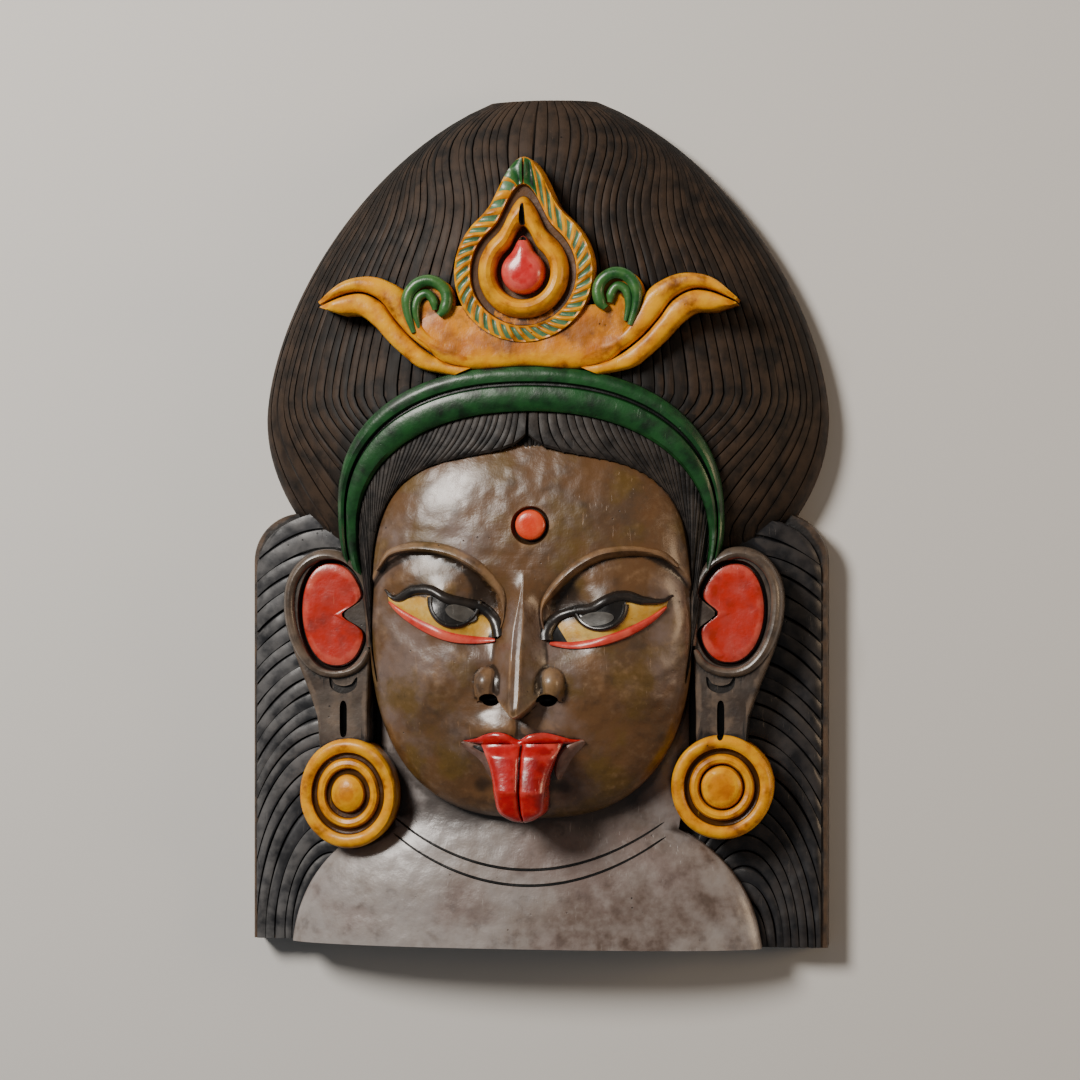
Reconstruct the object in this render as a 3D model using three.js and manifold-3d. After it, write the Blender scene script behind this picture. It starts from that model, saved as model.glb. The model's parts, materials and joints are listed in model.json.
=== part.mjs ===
// A goddess mask, carved in relief from one thick block of wood and painted. It lies on its flat back:
// +Z is out of the face, +Y is up the face, +X is to the viewer's right, and the origin is under its middle.
// Everything is one piece of wood, so each carved form below is worked out by itself and then joined.
// All sizes are in millimetres. "Level" is a height above the flat back.
import * as THREE from 'three';
import { mergeVertices } from 'three/addons/utils/BufferGeometryUtils.js';
import Module from 'manifold-3d';

const wasm = await Module();
wasm.setup();

// The block that everything is cut from
const BLOCK_HEIGHT = 610;
const BLOCK_WIDTH = 420;
const BLOCK_DEPTH = 121;
const BOTTOM = -BLOCK_HEIGHT / 2;
const TOP = BLOCK_HEIGHT / 2;
const BEHIND = -5; // each form is worked out down to here, behind the flat back, and then cut off at the back

// The piled-up hair, a tall bun with a flat cut at the top of the block
const BUN_OFF_CENTRE = 4;
const BUN_HALF_WIDTH = 206;
const BUN_WIDEST_Y = 75;
const BUN_RISE = 239; // from its widest line up to where its outline would close
const BUN_FALL = 155; // from its widest line down to where its outline would close
const BUN_POINTEDNESS = 1.67;
const BUN_EDGE_LEVEL = 14;
const BUN_CROWN_LEVEL = 76;
const BUN_STRANDS = 26;
const BUN_GROOVE = 3;
const BUN_ROWS = 7;
const BUN_LOWEST_Y = -23.5; // behind the headband
const BUN_FAN = 80; // degrees: how evenly its strands are spread
const BUN_GATHER = 1.8; // how much its strands draw together at the ends of the headband
const BUN_GATHER_Y = 95; // where they start to

// The loose hair behind the ears, a flat panel with combed locks
const PANEL_TOP = 6.5;
const PANEL_CORNER = 35.5;
const PANEL_LEVEL = 23;
const PANEL_RISE = 15; // from its outer edge in to the ear
const PANEL_BORDER = 4;
const LOCK_INNER_X = 128;
const LOCK_WIDTH = 5.6;
const LOCK_STRETCH = 2;
const LOCK_CENTRE_X = 150;
const LOCK_DEPTH = 3;
const LOCK_STEPS = 3;

// The shoulders and neck
const SHOULDER_X = -7.5;
const SHOULDER_HALF_WIDTH = 172;
const SHOULDER_RISE = 105; // from the bottom edge up to the collar
const SHOULDER_BELOW = 25; // from the bottom edge down to the middle of the shoulders' outline
const SHOULDER_POWER = 2.5;
const SHOULDER_LEVEL = 34;
const CHEST_LEVEL = 62;
const NECK_HALF_WIDTH = 112;
const NECK_LEVEL = 50;
const NECK_EDGE_LEVEL = 31;
const NECK_TOP_Y = -70;
const NECK_FOOT_Y = -246;
const NECK_LINE_RADIUS = 1.6;
const NECK_LINE_RISE = 35;
const NECK_LINE_HALF_LENGTH = 99;
const NECK_LINES = [-248.7, -259.8]; // the lowest y of each

// The face
const FACE_X = -0.5;
const FACE_Y = -60;
const FACE_HALF_WIDTH = 117;
const CHIN_DROP = 152; // from the eyes' line down to the chin
const BROW_RISE = 132; // from the eyes' line up under the hair
const JAW_SQUARENESS = 2.6;
const JAW_LEVEL = 54;
const FACE_LEVEL = 92;
const EYE_Y = -63;
const RIGHT_EYE_DROP = 3;
const MOUTH_X = -3;
const MOUTH_Y = -156;
const MOUTH_HALF_WIDTH = 43.5;
const LIP_RISE = 4;
const LIP_BOW = 6; // how far its two crests stand up
const LIP_THICKNESS = 5.5;
// Hollows and swellings of the face, each with its place, its half sizes and its rise. Those of
// the eyes count their y from the eye.
const EYE_FORMS = [
  { x: 30, y: -2, across: 34, up: 34, rise: -9 },
  { x: 80, y: 0, across: 34, up: 26, rise: -4 },
  { x: 60, y: 0, across: 44, up: 26, rise: 5 },
];
const CHEEK = { x: 62, y: -112, across: 48, up: 40, rise: 4 };
const MOUTH_SWELL = { x: MOUTH_X, y: MOUTH_Y, across: 64, up: 44, rise: 9 };
const CHIN_SWELL = { x: MOUTH_X, y: -196, across: 46, up: 24, rise: 5 };
const BROW_ARC = { x: 76, y: -75, inner: 62, outer: 48, height: 56 };
const BROW_START = 12; // degrees along its arc, from its outer end
const BROW_STOP = 140;
const BROW_RADIUS = 4.5;
const LID_RADIUS = 3;
const UPPER_LID = [
  [20, -79], [24, -66], [42, -58], [56, -55], [70, -49], [84, -50], [94, -54.5], [102, -50],
];
const LOWER_LID = [[22, -83], [38, -82.5], [54, -80], [70, -74], [87, -66], [99, -58]];
const BINDI = { x: 4.4, y: -2.4, radius: 11, groove: 3, rise: 2.5 };

// The nose and tongue
const NOSE_X = -3;
const NOSE_TOP_Y = -38;
const NOSE_TIP_Y = -130;
const NOSE_UNDER_Y = -137;
const NOSE_TIP_LEVEL = 121;
const NOSE_TIP_SHARE = 5 / 6; // of the way from its top to its underside
const NOSE_RIDGE_HALF_WIDTH = 3.6;
const NOSE_TOP_HALF_WIDTH = 9;
const NOSE_FOOT_HALF_WIDTH = 25;
const UNDER_NOSE_LEVEL = 100;
const NOSTRIL_X = 21;
const NOSTRIL_Y = -117;
const NOSTRIL_RADIUS = 11.5;
const NOSTRIL_LEVEL = 94;
const TONGUE_X = -1;
const TONGUE_TOP_HALF_WIDTH = 28;
const TONGUE_HALF_WIDTH = 18;
const TONGUE_TOP_Y = -156;
const TONGUE_BEND_Y = -181;
const TONGUE_TIP_Y = -213;
const TONGUE_BEND_LEVEL = 113;
const TONGUE_TIP_LEVEL = 101;
const TONGUE_RISE = 5; // over the lips, where it comes out
const TONGUE_FURROW = 3;

// The headband, two rolls side by side, and the fringe under it
const BAND_OUTER = { x: -1, y: 6, across: 139.5, up: 104.5, power: 2.3 };
const BAND_INNER = { x: 1, y: -12, across: 126.5, up: 89.5, power: 2.2 };
const HAIRLINE = { x: 1, y: -60, across: 115, up: 107, power: 3.2 };
const BAND_TOP_LEVEL = 82;
const BAND_SIDE_LEVEL = 58;
const BAND_GROOVE = 4;
const BAND_TURN = THREE.MathUtils.degToRad(16); // how far its ends run on below its widest line
const FRINGE_STRANDS = 13;
const FRINGE_GROOVE = 1.5;
const FRINGE_PROUD = 2;
const PARTING = { x: 3, half: 9, rise: 12 };

// The ears
const EAR_LEVEL = 56;
const EAR_RIM_RADIUS = 5;
const EAR_HOLLOW_DEPTH = 7;
const EAR_PAD_RISE = 3.5;
const EAR_PAD_GAP = 2.5;
const EAR_HOLLOW = { x: 145, y: -65, across: 23, up: 36.5, notch: 11, lean: 3 };
const LOBE_X = 136;
const LOBE_HALF_WIDTH = 17;
const LOBE_END_Y = -172;
const EAR_EDGE = [
  [119, -46], [126, -31], [138, -20], [152, -18], [167, -26], [177, -41], [180, -58], [177, -77],
  [169, -101], [160, -124],
];
const EAR_FRONT = [[117, -100], [116, -70]];
const EAR_RIM = [
  [116, -84], [117, -56], [125, -36], [139, -24], [153, -23], [166, -31], [174, -46], [174, -66],
  [168, -88], [158, -104], [142, -110],
];
const EAR_BEVEL = 3;
const LOBE_SLOT_HALF_WIDTH = 3.7;
const LOBE_SLOT_TOP_Y = -126;
const CRESCENT_RADIUS = 10;
const CRESCENT_Y = -110;
const CRESCENT_DEPTH = 5;
const SLOT_DEPTH = 14;

// The earrings, each tilted by its turn in degrees
const EARRING_LEVEL = 62;
const EARRING_ROLL_WIDTH = 10;
const EARRING_GROOVE = 4;
const EARRING_RING_RADIUS = 22;
const EARRING_RING_WIDTH = 6.5;
const EARRING_BOSS_RADIUS = 13;
const EARRINGS = [
  { x: -132.5, y: -195.5, across: 36.5, up: 39.5, turn: -9 },
  { x: 137, y: -188, across: 36, up: 37, turn: 6 },
];

// The crown ornament
const CROWN_LEVEL = 86;
const LEAF_GAP = 1;
const LEAF_ROUNDING = 4;
const DROP = { x: -1.2, y: 176, radius: 50, tip: 82, level: 94, edge: 86 };
const DROP_RING = { outer: 0.65, inner: 0.38 }; // shares of the drop's radius
const DROP_BEAD = 0.31;
const SCROLL = { x: 70, y: 158, radius: 12.5, roll: 5, level: 82, start: -20, stop: 275 };
const WING_LOWER_EDGE = [
  [52, 103.5], [75, 108.5], [87, 117], [99, 128], [109, 139], [120, 147], [134, 148], [149, 153],
];
const WING_GROOVE = [
  [38, 110], [62, 116], [81, 129], [94, 143], [104, 156], [117, 163], [131, 162], [148.5, 154.5],
];
const WING_UPPER_EDGE = [
  [52, 126], [71, 136], [79, 149], [88, 164], [104, 173], [119, 174.5], [134, 170], [149.5, 157],
];
const BOAT_LOWER_EDGE = [
  [-76, 128], [-58, 112], [-34, 107.5], [0, 109.5], [34, 107.5], [58, 112], [76, 128],
];
const BOAT_UPPER_EDGE = [
  [-80, 140], [-58, 152], [-34, 152], [0, 152], [34, 152], [58, 152], [80, 140],
];

const DEGREE = Math.PI / 180;

// How far out a place lies in a rounded outline: 0 at the middle and 1 on the line.
function reach(across, up, power) {
  return (Math.abs(across) ** power + Math.abs(up) ** power) ** (1 / power);
}

// The swell of a carved form, 1 in its middle and 0 at its outline.
function swell(out, power, softness) {
  return out >= 1 ? 0 : (1 - out ** power) ** softness;
}

// How far a hollow or swelling lifts the face at a place.
function lift(x, y, form) {
  const out = Math.hypot((x - form.x) / form.across, (y - form.y) / form.up);
  return out >= 1 ? 0 : form.rise * (1 - out * out) ** 2;
}

const mix = THREE.MathUtils.lerp;
const smooth = THREE.MathUtils.smoothstep;

// How far up the bun's outline a line lies, as a share of its rise or fall, and its outline's power.
function bunShare(y) {
  const above = y > BUN_WIDEST_Y;
  const share = Math.abs(y - BUN_WIDEST_Y) / (above ? BUN_RISE : BUN_FALL);
  return [Math.min(share, 0.999), above ? BUN_POINTEDNESS : 2];
}

function bunHalfWidth(y) {
  const [share, power] = bunShare(y);
  return BUN_HALF_WIDTH * (1 - share ** power) ** (1 / power);
}

function bunLevel(x, y) {
  const [share, power] = bunShare(y);
  const out = reach((x - BUN_OFF_CENTRE) / BUN_HALF_WIDTH, share, power);
  return BUN_EDGE_LEVEL + (BUN_CROWN_LEVEL - BUN_EDGE_LEVEL) * swell(out, 2.3, 0.6);
}

// How far up the shoulders' outline a line lies, from 0 at its middle to 1 at the collar.
function shoulderShare(y) {
  return (y - BOTTOM + SHOULDER_BELOW) / (SHOULDER_RISE + SHOULDER_BELOW);
}

function chestLevel(x, y) {
  const out = reach((x - SHOULDER_X) / SHOULDER_HALF_WIDTH, shoulderShare(y), SHOULDER_POWER);
  return SHOULDER_LEVEL + (CHEST_LEVEL - SHOULDER_LEVEL) * swell(out, 2.4, 0.6);
}

function neckLevel(x) {
  const across = (x - FACE_X) / NECK_HALF_WIDTH;
  return mix(NECK_EDGE_LEVEL, NECK_LEVEL, Math.sqrt(Math.max(1 - across ** 2, 0)));
}

function faceOut(x, y) {
  const fall = y < FACE_Y ? CHIN_DROP : BROW_RISE;
  return reach((x - FACE_X) / FACE_HALF_WIDTH, (y - FACE_Y) / fall, JAW_SQUARENESS);
}

// The face without nose, lips, lids and brows.
function faceLevel(x, y) {
  const side = Math.abs(x);
  const eyeY = x > 0 ? EYE_Y - RIGHT_EYE_DROP : EYE_Y;
  let level = JAW_LEVEL + (FACE_LEVEL - JAW_LEVEL) * swell(faceOut(x, y), JAW_SQUARENESS, 0.5);
  for (const form of EYE_FORMS) level += lift(side, y - eyeY, form);
  return level + lift(side, y, CHEEK) + lift(x, y, MOUTH_SWELL) + lift(x, y, CHIN_SWELL);
}

// A closed solid over a grid: its top is where place(u, v) says and its underside is flat.
function reliefBlock(columns, rows, place) {
  const geometry = new THREE.BoxGeometry(1, 1, 1, columns, rows, 1);
  const position = geometry.attributes.position;
  for (let i = 0; i < position.count; i++) {
    const [x, y, z] = place(position.getX(i) + 0.5, position.getY(i) + 0.5);
    position.setXYZ(i, x, y, position.getZ(i) > 0 ? z : BEHIND);
  }
  return geometry;
}

// A prism of an outline, standing between two levels, with its edges bevelled off.
function carvedPlate(shape, floor, level, bevel) {
  const geometry = new THREE.ExtrudeGeometry(shape, {
    depth: level - floor - 2 * bevel,
    bevelEnabled: bevel > 0,
    bevelThickness: bevel,
    bevelSize: bevel,
    bevelOffset: -bevel,
    bevelSegments: 1,
    curveSegments: 6,
  });
  return geometry.translate(0, 0, floor + bevel);
}

function tube(points, radius, steps, sides) {
  const circle = new THREE.Path().absarc(0, 0, radius, 0, 2 * Math.PI);
  const section = new THREE.Shape(circle.getPoints(sides).slice(0, -1));
  return new THREE.ExtrudeGeometry(section, {
    extrudePath: new THREE.CatmullRomCurve3(points),
    steps,
    bevelEnabled: false,
  });
}

// A closed form as a solid. Triangles that shrink to a line where a turned form meets its axis are dropped.
function solid(geometry) {
  const bare = new THREE.BufferGeometry().setAttribute('position', geometry.getAttribute('position').clone());
  if (geometry.index) bare.setIndex(geometry.index.clone());
  const merged = mergeVertices(bare, 1e-4);
  const corners = merged.index.array;
  const triangles = [];
  for (let i = 0; i < corners.length; i += 3) {
    const [a, b, c] = corners.slice(i, i + 3);
    if (a !== b && b !== c && c !== a) triangles.push(a, b, c);
  }
  const mesh = new wasm.Mesh({
    numProp: 3,
    vertProperties: new Float32Array(merged.attributes.position.array),
    triVerts: new Uint32Array(triangles),
  });
  return new wasm.Manifold(mesh);
}

// Piled-up hair. Its strands run from the flat top and gather towards the ends of the headband.
function bun() {
  const columns = 2 * BUN_STRANDS;
  const fan = BUN_FAN * DEGREE;
  return reliefBlock(columns, BUN_ROWS, (u, v) => {
    const y = mix(BUN_LOWEST_Y, TOP, v);
    const spread = Math.sin((2 * u - 1) * fan) / Math.sin(fan);
    const gather = 1 + BUN_GATHER * smooth(-y, -BUN_GATHER_Y, 10);
    const side = Math.sign(spread) * Math.abs(spread) ** gather;
    const x = BUN_OFF_CENTRE + side * bunHalfWidth(Math.max(y, PANEL_TOP - 12));
    const inGroove = Math.round(u * columns) % 2 === 1;
    return [x, y, bunLevel(x, y) - (inGroove ? BUN_GROOVE * (1 - side ** 8) : 0)];
  });
}

// The board behind the ears and shoulders, with round upper corners.
function panelBoard() {
  const half = BLOCK_WIDTH / 2;
  const outline = new THREE.Shape();
  outline.moveTo(-half, BOTTOM);
  outline.lineTo(half, BOTTOM);
  outline.absarc(half - PANEL_CORNER, PANEL_TOP - PANEL_CORNER, PANEL_CORNER, 0, Math.PI / 2, false);
  outline.absarc(PANEL_CORNER - half, PANEL_TOP - PANEL_CORNER, PANEL_CORNER, Math.PI / 2, Math.PI, false);
  return carvedPlate(outline, BEHIND, PANEL_LEVEL, 0);
}

// Combed locks of one side: each follows an ellipse round the foot of the panel, from its edge in
// behind the ear.
function locks(side) {
  const edge = BLOCK_WIDTH / 2 - PANEL_BORDER;
  const corner = PANEL_CORNER - PANEL_BORDER;
  const cornerX = edge - corner;
  const cornerY = PANEL_TOP - PANEL_CORNER;
  const first = LOCK_CENTRE_X - LOCK_INNER_X;
  const last = Math.hypot(cornerX - LOCK_CENTRE_X, (cornerY + corner - BOTTOM) / LOCK_STRETCH);
  const count = Math.round(last / LOCK_WIDTH);
  const outside = (x, y) =>
    x > edge || (x > cornerX && y > cornerY && Math.hypot(x - cornerX, y - cornerY) > corner);
  return reliefBlock(LOCK_STEPS, 2 * count, (u, v) => {
    const radius = mix(1, last, v);
    const along = (turn) => [
      LOCK_CENTRE_X + radius * Math.cos(turn),
      BOTTOM + 0.5 + LOCK_STRETCH * radius * Math.sin(turn),
    ];
    let low = 0;
    let high = Math.PI / 2;
    for (let i = 0; i < 24; i++) {
      const middle = (low + high) / 2;
      if (outside(...along(middle))) low = middle;
      else high = middle;
    }
    const reachIn = Math.min(first / radius, 0.9);
    const start = radius > edge - LOCK_CENTRE_X ? high : 0;
    const stop = Math.PI / 2 + Math.asin(reachIn);
    const [x, y] = along(side > 0 ? mix(stop, start, u) : mix(start, stop, u));
    const inward = THREE.MathUtils.clamp((edge - x) / (edge - LOCK_INNER_X), 0, 1);
    const raised = Math.round(v * 2 * count) % 2 === 1 ? LOCK_DEPTH : 0;
    return [side * x, y, PANEL_LEVEL + 0.8 + PANEL_RISE * inward + raised];
  });
}

function shoulders() {
  return reliefBlock(10, 5, (u, v) => {
    const y = mix(BOTTOM, BOTTOM + SHOULDER_RISE - 4, v);
    const left = 1 - shoulderShare(y) ** SHOULDER_POWER;
    const half = SHOULDER_HALF_WIDTH * left ** (1 / SHOULDER_POWER);
    const x = SHOULDER_X + half * Math.sin((u - 0.5) * Math.PI);
    return [x, y, chestLevel(x, y)];
  });
}

function neck() {
  return reliefBlock(8, 3, (u, v) => {
    const x = FACE_X + NECK_HALF_WIDTH * Math.sin((u - 0.5) * Math.PI);
    return [x, mix(NECK_FOOT_Y, NECK_TOP_Y, v), neckLevel(x)];
  });
}

// One of the two folds cut across the throat.
function neckLine(lowest) {
  const points = [];
  for (let i = 0; i <= 12; i++) {
    const across = mix(-1, 1, i / 12);
    const x = MOUTH_X + NECK_LINE_HALF_LENGTH * across;
    const y = lowest + NECK_LINE_RISE * across ** 2;
    points.push(new THREE.Vector3(x, y, Math.max(chestLevel(x, y), neckLevel(x)) + NECK_LINE_RADIUS / 4));
  }
  return tube(points, NECK_LINE_RADIUS, 7, 3);
}

function head() {
  return reliefBlock(16, 17, (u, v) => {
    const y = mix(FACE_Y - CHIN_DROP * 0.994, FACE_Y + BROW_RISE * 0.97, v);
    const share = Math.abs(y - FACE_Y) / (y < FACE_Y ? CHIN_DROP : BROW_RISE);
    const half = FACE_HALF_WIDTH * (1 - share ** JAW_SQUARENESS) ** (1 / JAW_SQUARENESS);
    const x = FACE_X + half * Math.sin((u - 0.5) * Math.PI * 0.98) / Math.sin(0.49 * Math.PI);
    return [x, y, faceLevel(x, y)];
  });
}

// A raised eyebrow, an arch that drops to the root of the nose.
function eyebrow(side) {
  const points = [];
  for (let i = 0; i <= 10; i++) {
    const turn = Math.PI - mix(BROW_START, BROW_STOP, i / 10) * DEGREE;
    const across = Math.cos(turn) < 0 ? BROW_ARC.inner : BROW_ARC.outer;
    const x = side * (BROW_ARC.x + across * Math.cos(turn));
    const y = BROW_ARC.y + BROW_ARC.height * Math.sin(turn);
    points.push(new THREE.Vector3(x, y, faceLevel(x, y)));
  }
  return tube(points, BROW_RADIUS, 7, 5);
}

// Upper lids swing like a drawn bow, lower lids like a boat.
function eyelid(side, upper) {
  const drop = side > 0 ? RIGHT_EYE_DROP : 0;
  const points = (upper ? UPPER_LID : LOWER_LID).map(([x, y]) => {
    const at = [side * x, y - drop];
    return new THREE.Vector3(...at, faceLevel(...at) + (upper ? 1 : 0));
  });
  return tube(points, upper ? LID_RADIUS : LID_RADIUS * 0.75, 7, 4);
}

// The nose has a narrow flat ridge, straight sides that spread downwards, and a steep underside.
function nose() {
  return reliefBlock(4, 6, (u, v) => {
    const along = 1 - v;
    const under = Math.max(along - NOSE_TIP_SHARE, 0) / (1 - NOSE_TIP_SHARE);
    const fall = Math.min(along / NOSE_TIP_SHARE, 1);
    const y = under > 0 ? mix(NOSE_TIP_Y, NOSE_UNDER_Y, under) : mix(NOSE_TOP_Y, NOSE_TIP_Y, fall);
    const side = 2 * u - 1;
    const foot = mix(NOSE_TOP_HALF_WIDTH, NOSE_FOOT_HALF_WIDTH, fall ** 1.6) * (1 - 0.45 * under);
    const onRidge = Math.abs(side) < 0.75;
    const x = NOSE_X * along + (onRidge ? 2 * side * NOSE_RIDGE_HALF_WIDTH : Math.sign(side) * foot);
    const ridge = mix(faceLevel(0, NOSE_TOP_Y) + 1, NOSE_TIP_LEVEL, fall ** 0.9);
    return [x, y, onRidge ? mix(ridge, UNDER_NOSE_LEVEL, under) : faceLevel(x, y) - 1];
  });
}

function nostril(side) {
  const ball = new THREE.SphereGeometry(NOSTRIL_RADIUS, 8, 6);
  return ball.scale(1, 1.15, 0.9).translate(NOSE_X + side * NOSTRIL_X, NOSTRIL_Y, NOSTRIL_LEVEL);
}

function nostrilHole(side) {
  const hole = new THREE.SphereGeometry(NOSTRIL_RADIUS * 0.55, 6, 4);
  return hole.translate(NOSE_X + side * (NOSTRIL_X - 2), NOSTRIL_Y - NOSTRIL_RADIUS, NOSTRIL_LEVEL + 2);
}

// Upper lip, shaped like a drawn bow.
function upperLip() {
  return reliefBlock(10, 3, (u, v) => {
    const across = 2 * u - 1;
    const bow = LIP_BOW * Math.exp(-(((Math.abs(across) - 0.45) / 0.3) ** 2));
    const centre = MOUTH_Y - 1.5 + 2.5 * Math.abs(across);
    const thick = (LIP_THICKNESS * (1 - across ** 4) + 1) / 2;
    const x = MOUTH_X + MOUTH_HALF_WIDTH * across;
    const y = centre + bow / 2 + thick * (2 * v - 1);
    const round = v === 0 || v === 1 ? 0 : 1;
    return [x, y, faceLevel(x, y) + 0.5 + LIP_RISE * round * (1 - 0.7 * across ** 2)];
  });
}

// Tongue, put out and bent down over the chin, with a groove down its middle and a rounded tip.
function tongue() {
  const bend = (TONGUE_TOP_Y - TONGUE_BEND_Y) / (TONGUE_TOP_Y - TONGUE_TIP_Y);
  const rounding = TONGUE_HALF_WIDTH / (TONGUE_TOP_Y - TONGUE_TIP_Y);
  return reliefBlock(6, 9, (u, v) => {
    const along = 1 - v;
    const flare = mix(TONGUE_TOP_HALF_WIDTH, TONGUE_HALF_WIDTH, smooth(along, 0, bend));
    const past = Math.max(along - 1 + rounding, 0) / rounding;
    const side = 2 * u - 1;
    const x = TONGUE_X + flare * Math.sqrt(1 - 0.9 * past ** 2) * side;
    const y = mix(TONGUE_TOP_Y, TONGUE_TIP_Y, along);
    const back = along < bend
      ? mix(faceLevel(TONGUE_X, TONGUE_TOP_Y) + TONGUE_RISE, TONGUE_BEND_LEVEL, along / bend)
      : mix(TONGUE_BEND_LEVEL, TONGUE_TIP_LEVEL, (along - bend) / (1 - bend));
    const furrow = Math.abs(side) < 0.1 ? TONGUE_FURROW : 0;
    return [x, y, back - furrow - 2.5 * side ** 4 - 4 * past ** 2];
  });
}

// The dot on the brow stands in a ring-shaped cut.
function bindi() {
  const level = faceLevel(BINDI.x, BINDI.y);
  const { radius, rise } = BINDI;
  const profile = [[0, -9], [radius, -9], [radius, 0.3], [radius - 2.5, rise - 0.7], [0, rise]];
  return dish(profile, 16).translate(BINDI.x, BINDI.y, level);
}

function bindiRing() {
  const level = faceLevel(BINDI.x, BINDI.y);
  const outer = BINDI.radius + BINDI.groove;
  return dish([[0, -4], [BINDI.radius + 1, -4], [outer, 8], [0, 8]], 16).translate(BINDI.x, BINDI.y, level);
}

// A turned form round the Z axis, from radius and level pairs that start and end on the axis.
function dish(profile, segments) {
  const geometry = new THREE.LatheGeometry(profile.map(([r, h]) => new THREE.Vector2(r, h)), segments);
  return geometry.rotateX(Math.PI / 2);
}

// A place on an arch over the face, with its turn counted from the right-hand side.
function onArch(arch, turn) {
  const c = Math.cos(turn);
  const s = Math.sin(turn);
  return [
    arch.x + arch.across * Math.sign(c) * Math.abs(c) ** (2 / arch.power),
    arch.y + arch.up * Math.sign(s) * Math.abs(s) ** (2 / arch.power),
  ];
}

function bandLevel(turn) {
  return mix(BAND_SIDE_LEVEL, BAND_TOP_LEVEL, Math.max(Math.sin(turn), 0) ** 0.8);
}

function headband() {
  const profile = [-10, 0, -BAND_GROOVE, 2, 1, -9];
  return reliefBlock(20, profile.length - 1, (u, v) => {
    const turn = mix(Math.PI + BAND_TURN, -BAND_TURN, u);
    const [outerX, outerY] = onArch(BAND_OUTER, turn);
    const [innerX, innerY] = onArch(BAND_INNER, turn);
    const drop = profile[Math.round((1 - v) * (profile.length - 1))];
    return [mix(innerX, outerX, v), mix(innerY, outerY, v), bandLevel(turn) + drop];
  });
}

// Short hair combed down from the band over the forehead.
function fringe() {
  const columns = 2 * FRINGE_STRANDS;
  return reliefBlock(columns, 1, (u, v) => {
    const turn = mix(Math.PI + BAND_TURN * 1.2, -BAND_TURN * 1.2, u);
    const [outerX, outerY] = onArch(BAND_INNER, turn);
    const [innerX, innerY] = onArch(HAIRLINE, turn);
    const parting = PARTING.rise * Math.exp(-(((innerX - PARTING.x) / PARTING.half) ** 2));
    const x = mix(innerX, outerX, v);
    const y = mix(innerY + parting, outerY, v);
    const groove = Math.round(u * columns) % 2 === 1 ? FRINGE_GROOVE : 0;
    const hair = Math.max(faceLevel(innerX, innerY) + FRINGE_PROUD, BAND_SIDE_LEVEL - 2);
    return [x, y, mix(hair, bandLevel(turn) - 6, v * 0.6) - groove];
  });
}

// The outline of one ear with its long lobe, for the viewer's right.
function earOutline() {
  const lobe = [
    [LOBE_X + LOBE_HALF_WIDTH, -148], [LOBE_X + LOBE_HALF_WIDTH - 1, LOBE_END_Y],
    [LOBE_X - LOBE_HALF_WIDTH + 1, LOBE_END_Y], [LOBE_X - LOBE_HALF_WIDTH - 1, -140],
  ];
  return new THREE.Shape([...EAR_EDGE, ...lobe, ...EAR_FRONT].map(([x, y]) => new THREE.Vector2(x, y)));
}

// The kidney-shaped hollow of the ear, its notch towards the face.
function earHollow(grow) {
  const { x, y, across, up, notch, lean } = EAR_HOLLOW;
  const points = [];
  for (let i = 0; i < 13; i++) {
    const turn = (i / 13) * 2 * Math.PI;
    const wide = across - notch * Math.exp(-(((turn - Math.PI) / 0.42) ** 2)) + grow;
    points.push(new THREE.Vector2(
      x + wide * Math.cos(turn) + lean * Math.sin(turn),
      y + (up + grow) * Math.sin(turn),
    ));
  }
  return new THREE.Shape(points);
}

function lobeSlot() {
  const outline = new THREE.Shape();
  outline.absarc(LOBE_X, LOBE_SLOT_TOP_Y - LOBE_SLOT_HALF_WIDTH, LOBE_SLOT_HALF_WIDTH, 0, Math.PI, false);
  outline.lineTo(LOBE_X - LOBE_SLOT_HALF_WIDTH, LOBE_END_Y);
  outline.lineTo(LOBE_X + LOBE_SLOT_HALF_WIDTH, LOBE_END_Y);
  return carvedPlate(outline, EAR_LEVEL - SLOT_DEPTH, EAR_LEVEL + 20, 0);
}

// A half-moon cut under the hollow.
function lobeCrescent() {
  const onEdge = (i, drop) => {
    const turn = Math.PI * (1 + i / 8);
    const radius = CRESCENT_RADIUS;
    return new THREE.Vector2(LOBE_X + radius * Math.cos(turn), CRESCENT_Y + drop * radius * Math.sin(turn));
  };
  const points = [];
  for (let i = 0; i <= 8; i++) points.push(onEdge(i, 1));
  for (let i = 7; i >= 1; i--) points.push(onEdge(i, 0.5));
  return carvedPlate(new THREE.Shape(points), EAR_LEVEL - CRESCENT_DEPTH, EAR_LEVEL + 20, 0);
}

function earRim() {
  const points = EAR_RIM.map(([x, y]) => new THREE.Vector3(x, y, EAR_LEVEL - 1));
  return tube(points, EAR_RIM_RADIUS, 10, 5);
}

// An ear, made for the viewer's right and mirrored for the left.
function ear(side) {
  const floor = EAR_LEVEL - EAR_HOLLOW_DEPTH;
  const made = solid(carvedPlate(earOutline(), BEHIND, EAR_LEVEL, EAR_BEVEL))
    .add(solid(earRim()))
    .subtract(solid(carvedPlate(earHollow(EAR_PAD_GAP), floor, EAR_LEVEL + 20, 0)))
    .add(solid(carvedPlate(earHollow(0), BEHIND, floor + EAR_PAD_RISE, 0)))
    .subtract(solid(lobeSlot()))
    .subtract(solid(lobeCrescent()));
  return side < 0 ? made.mirror([1, 0, 0]) : made;
}

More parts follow.
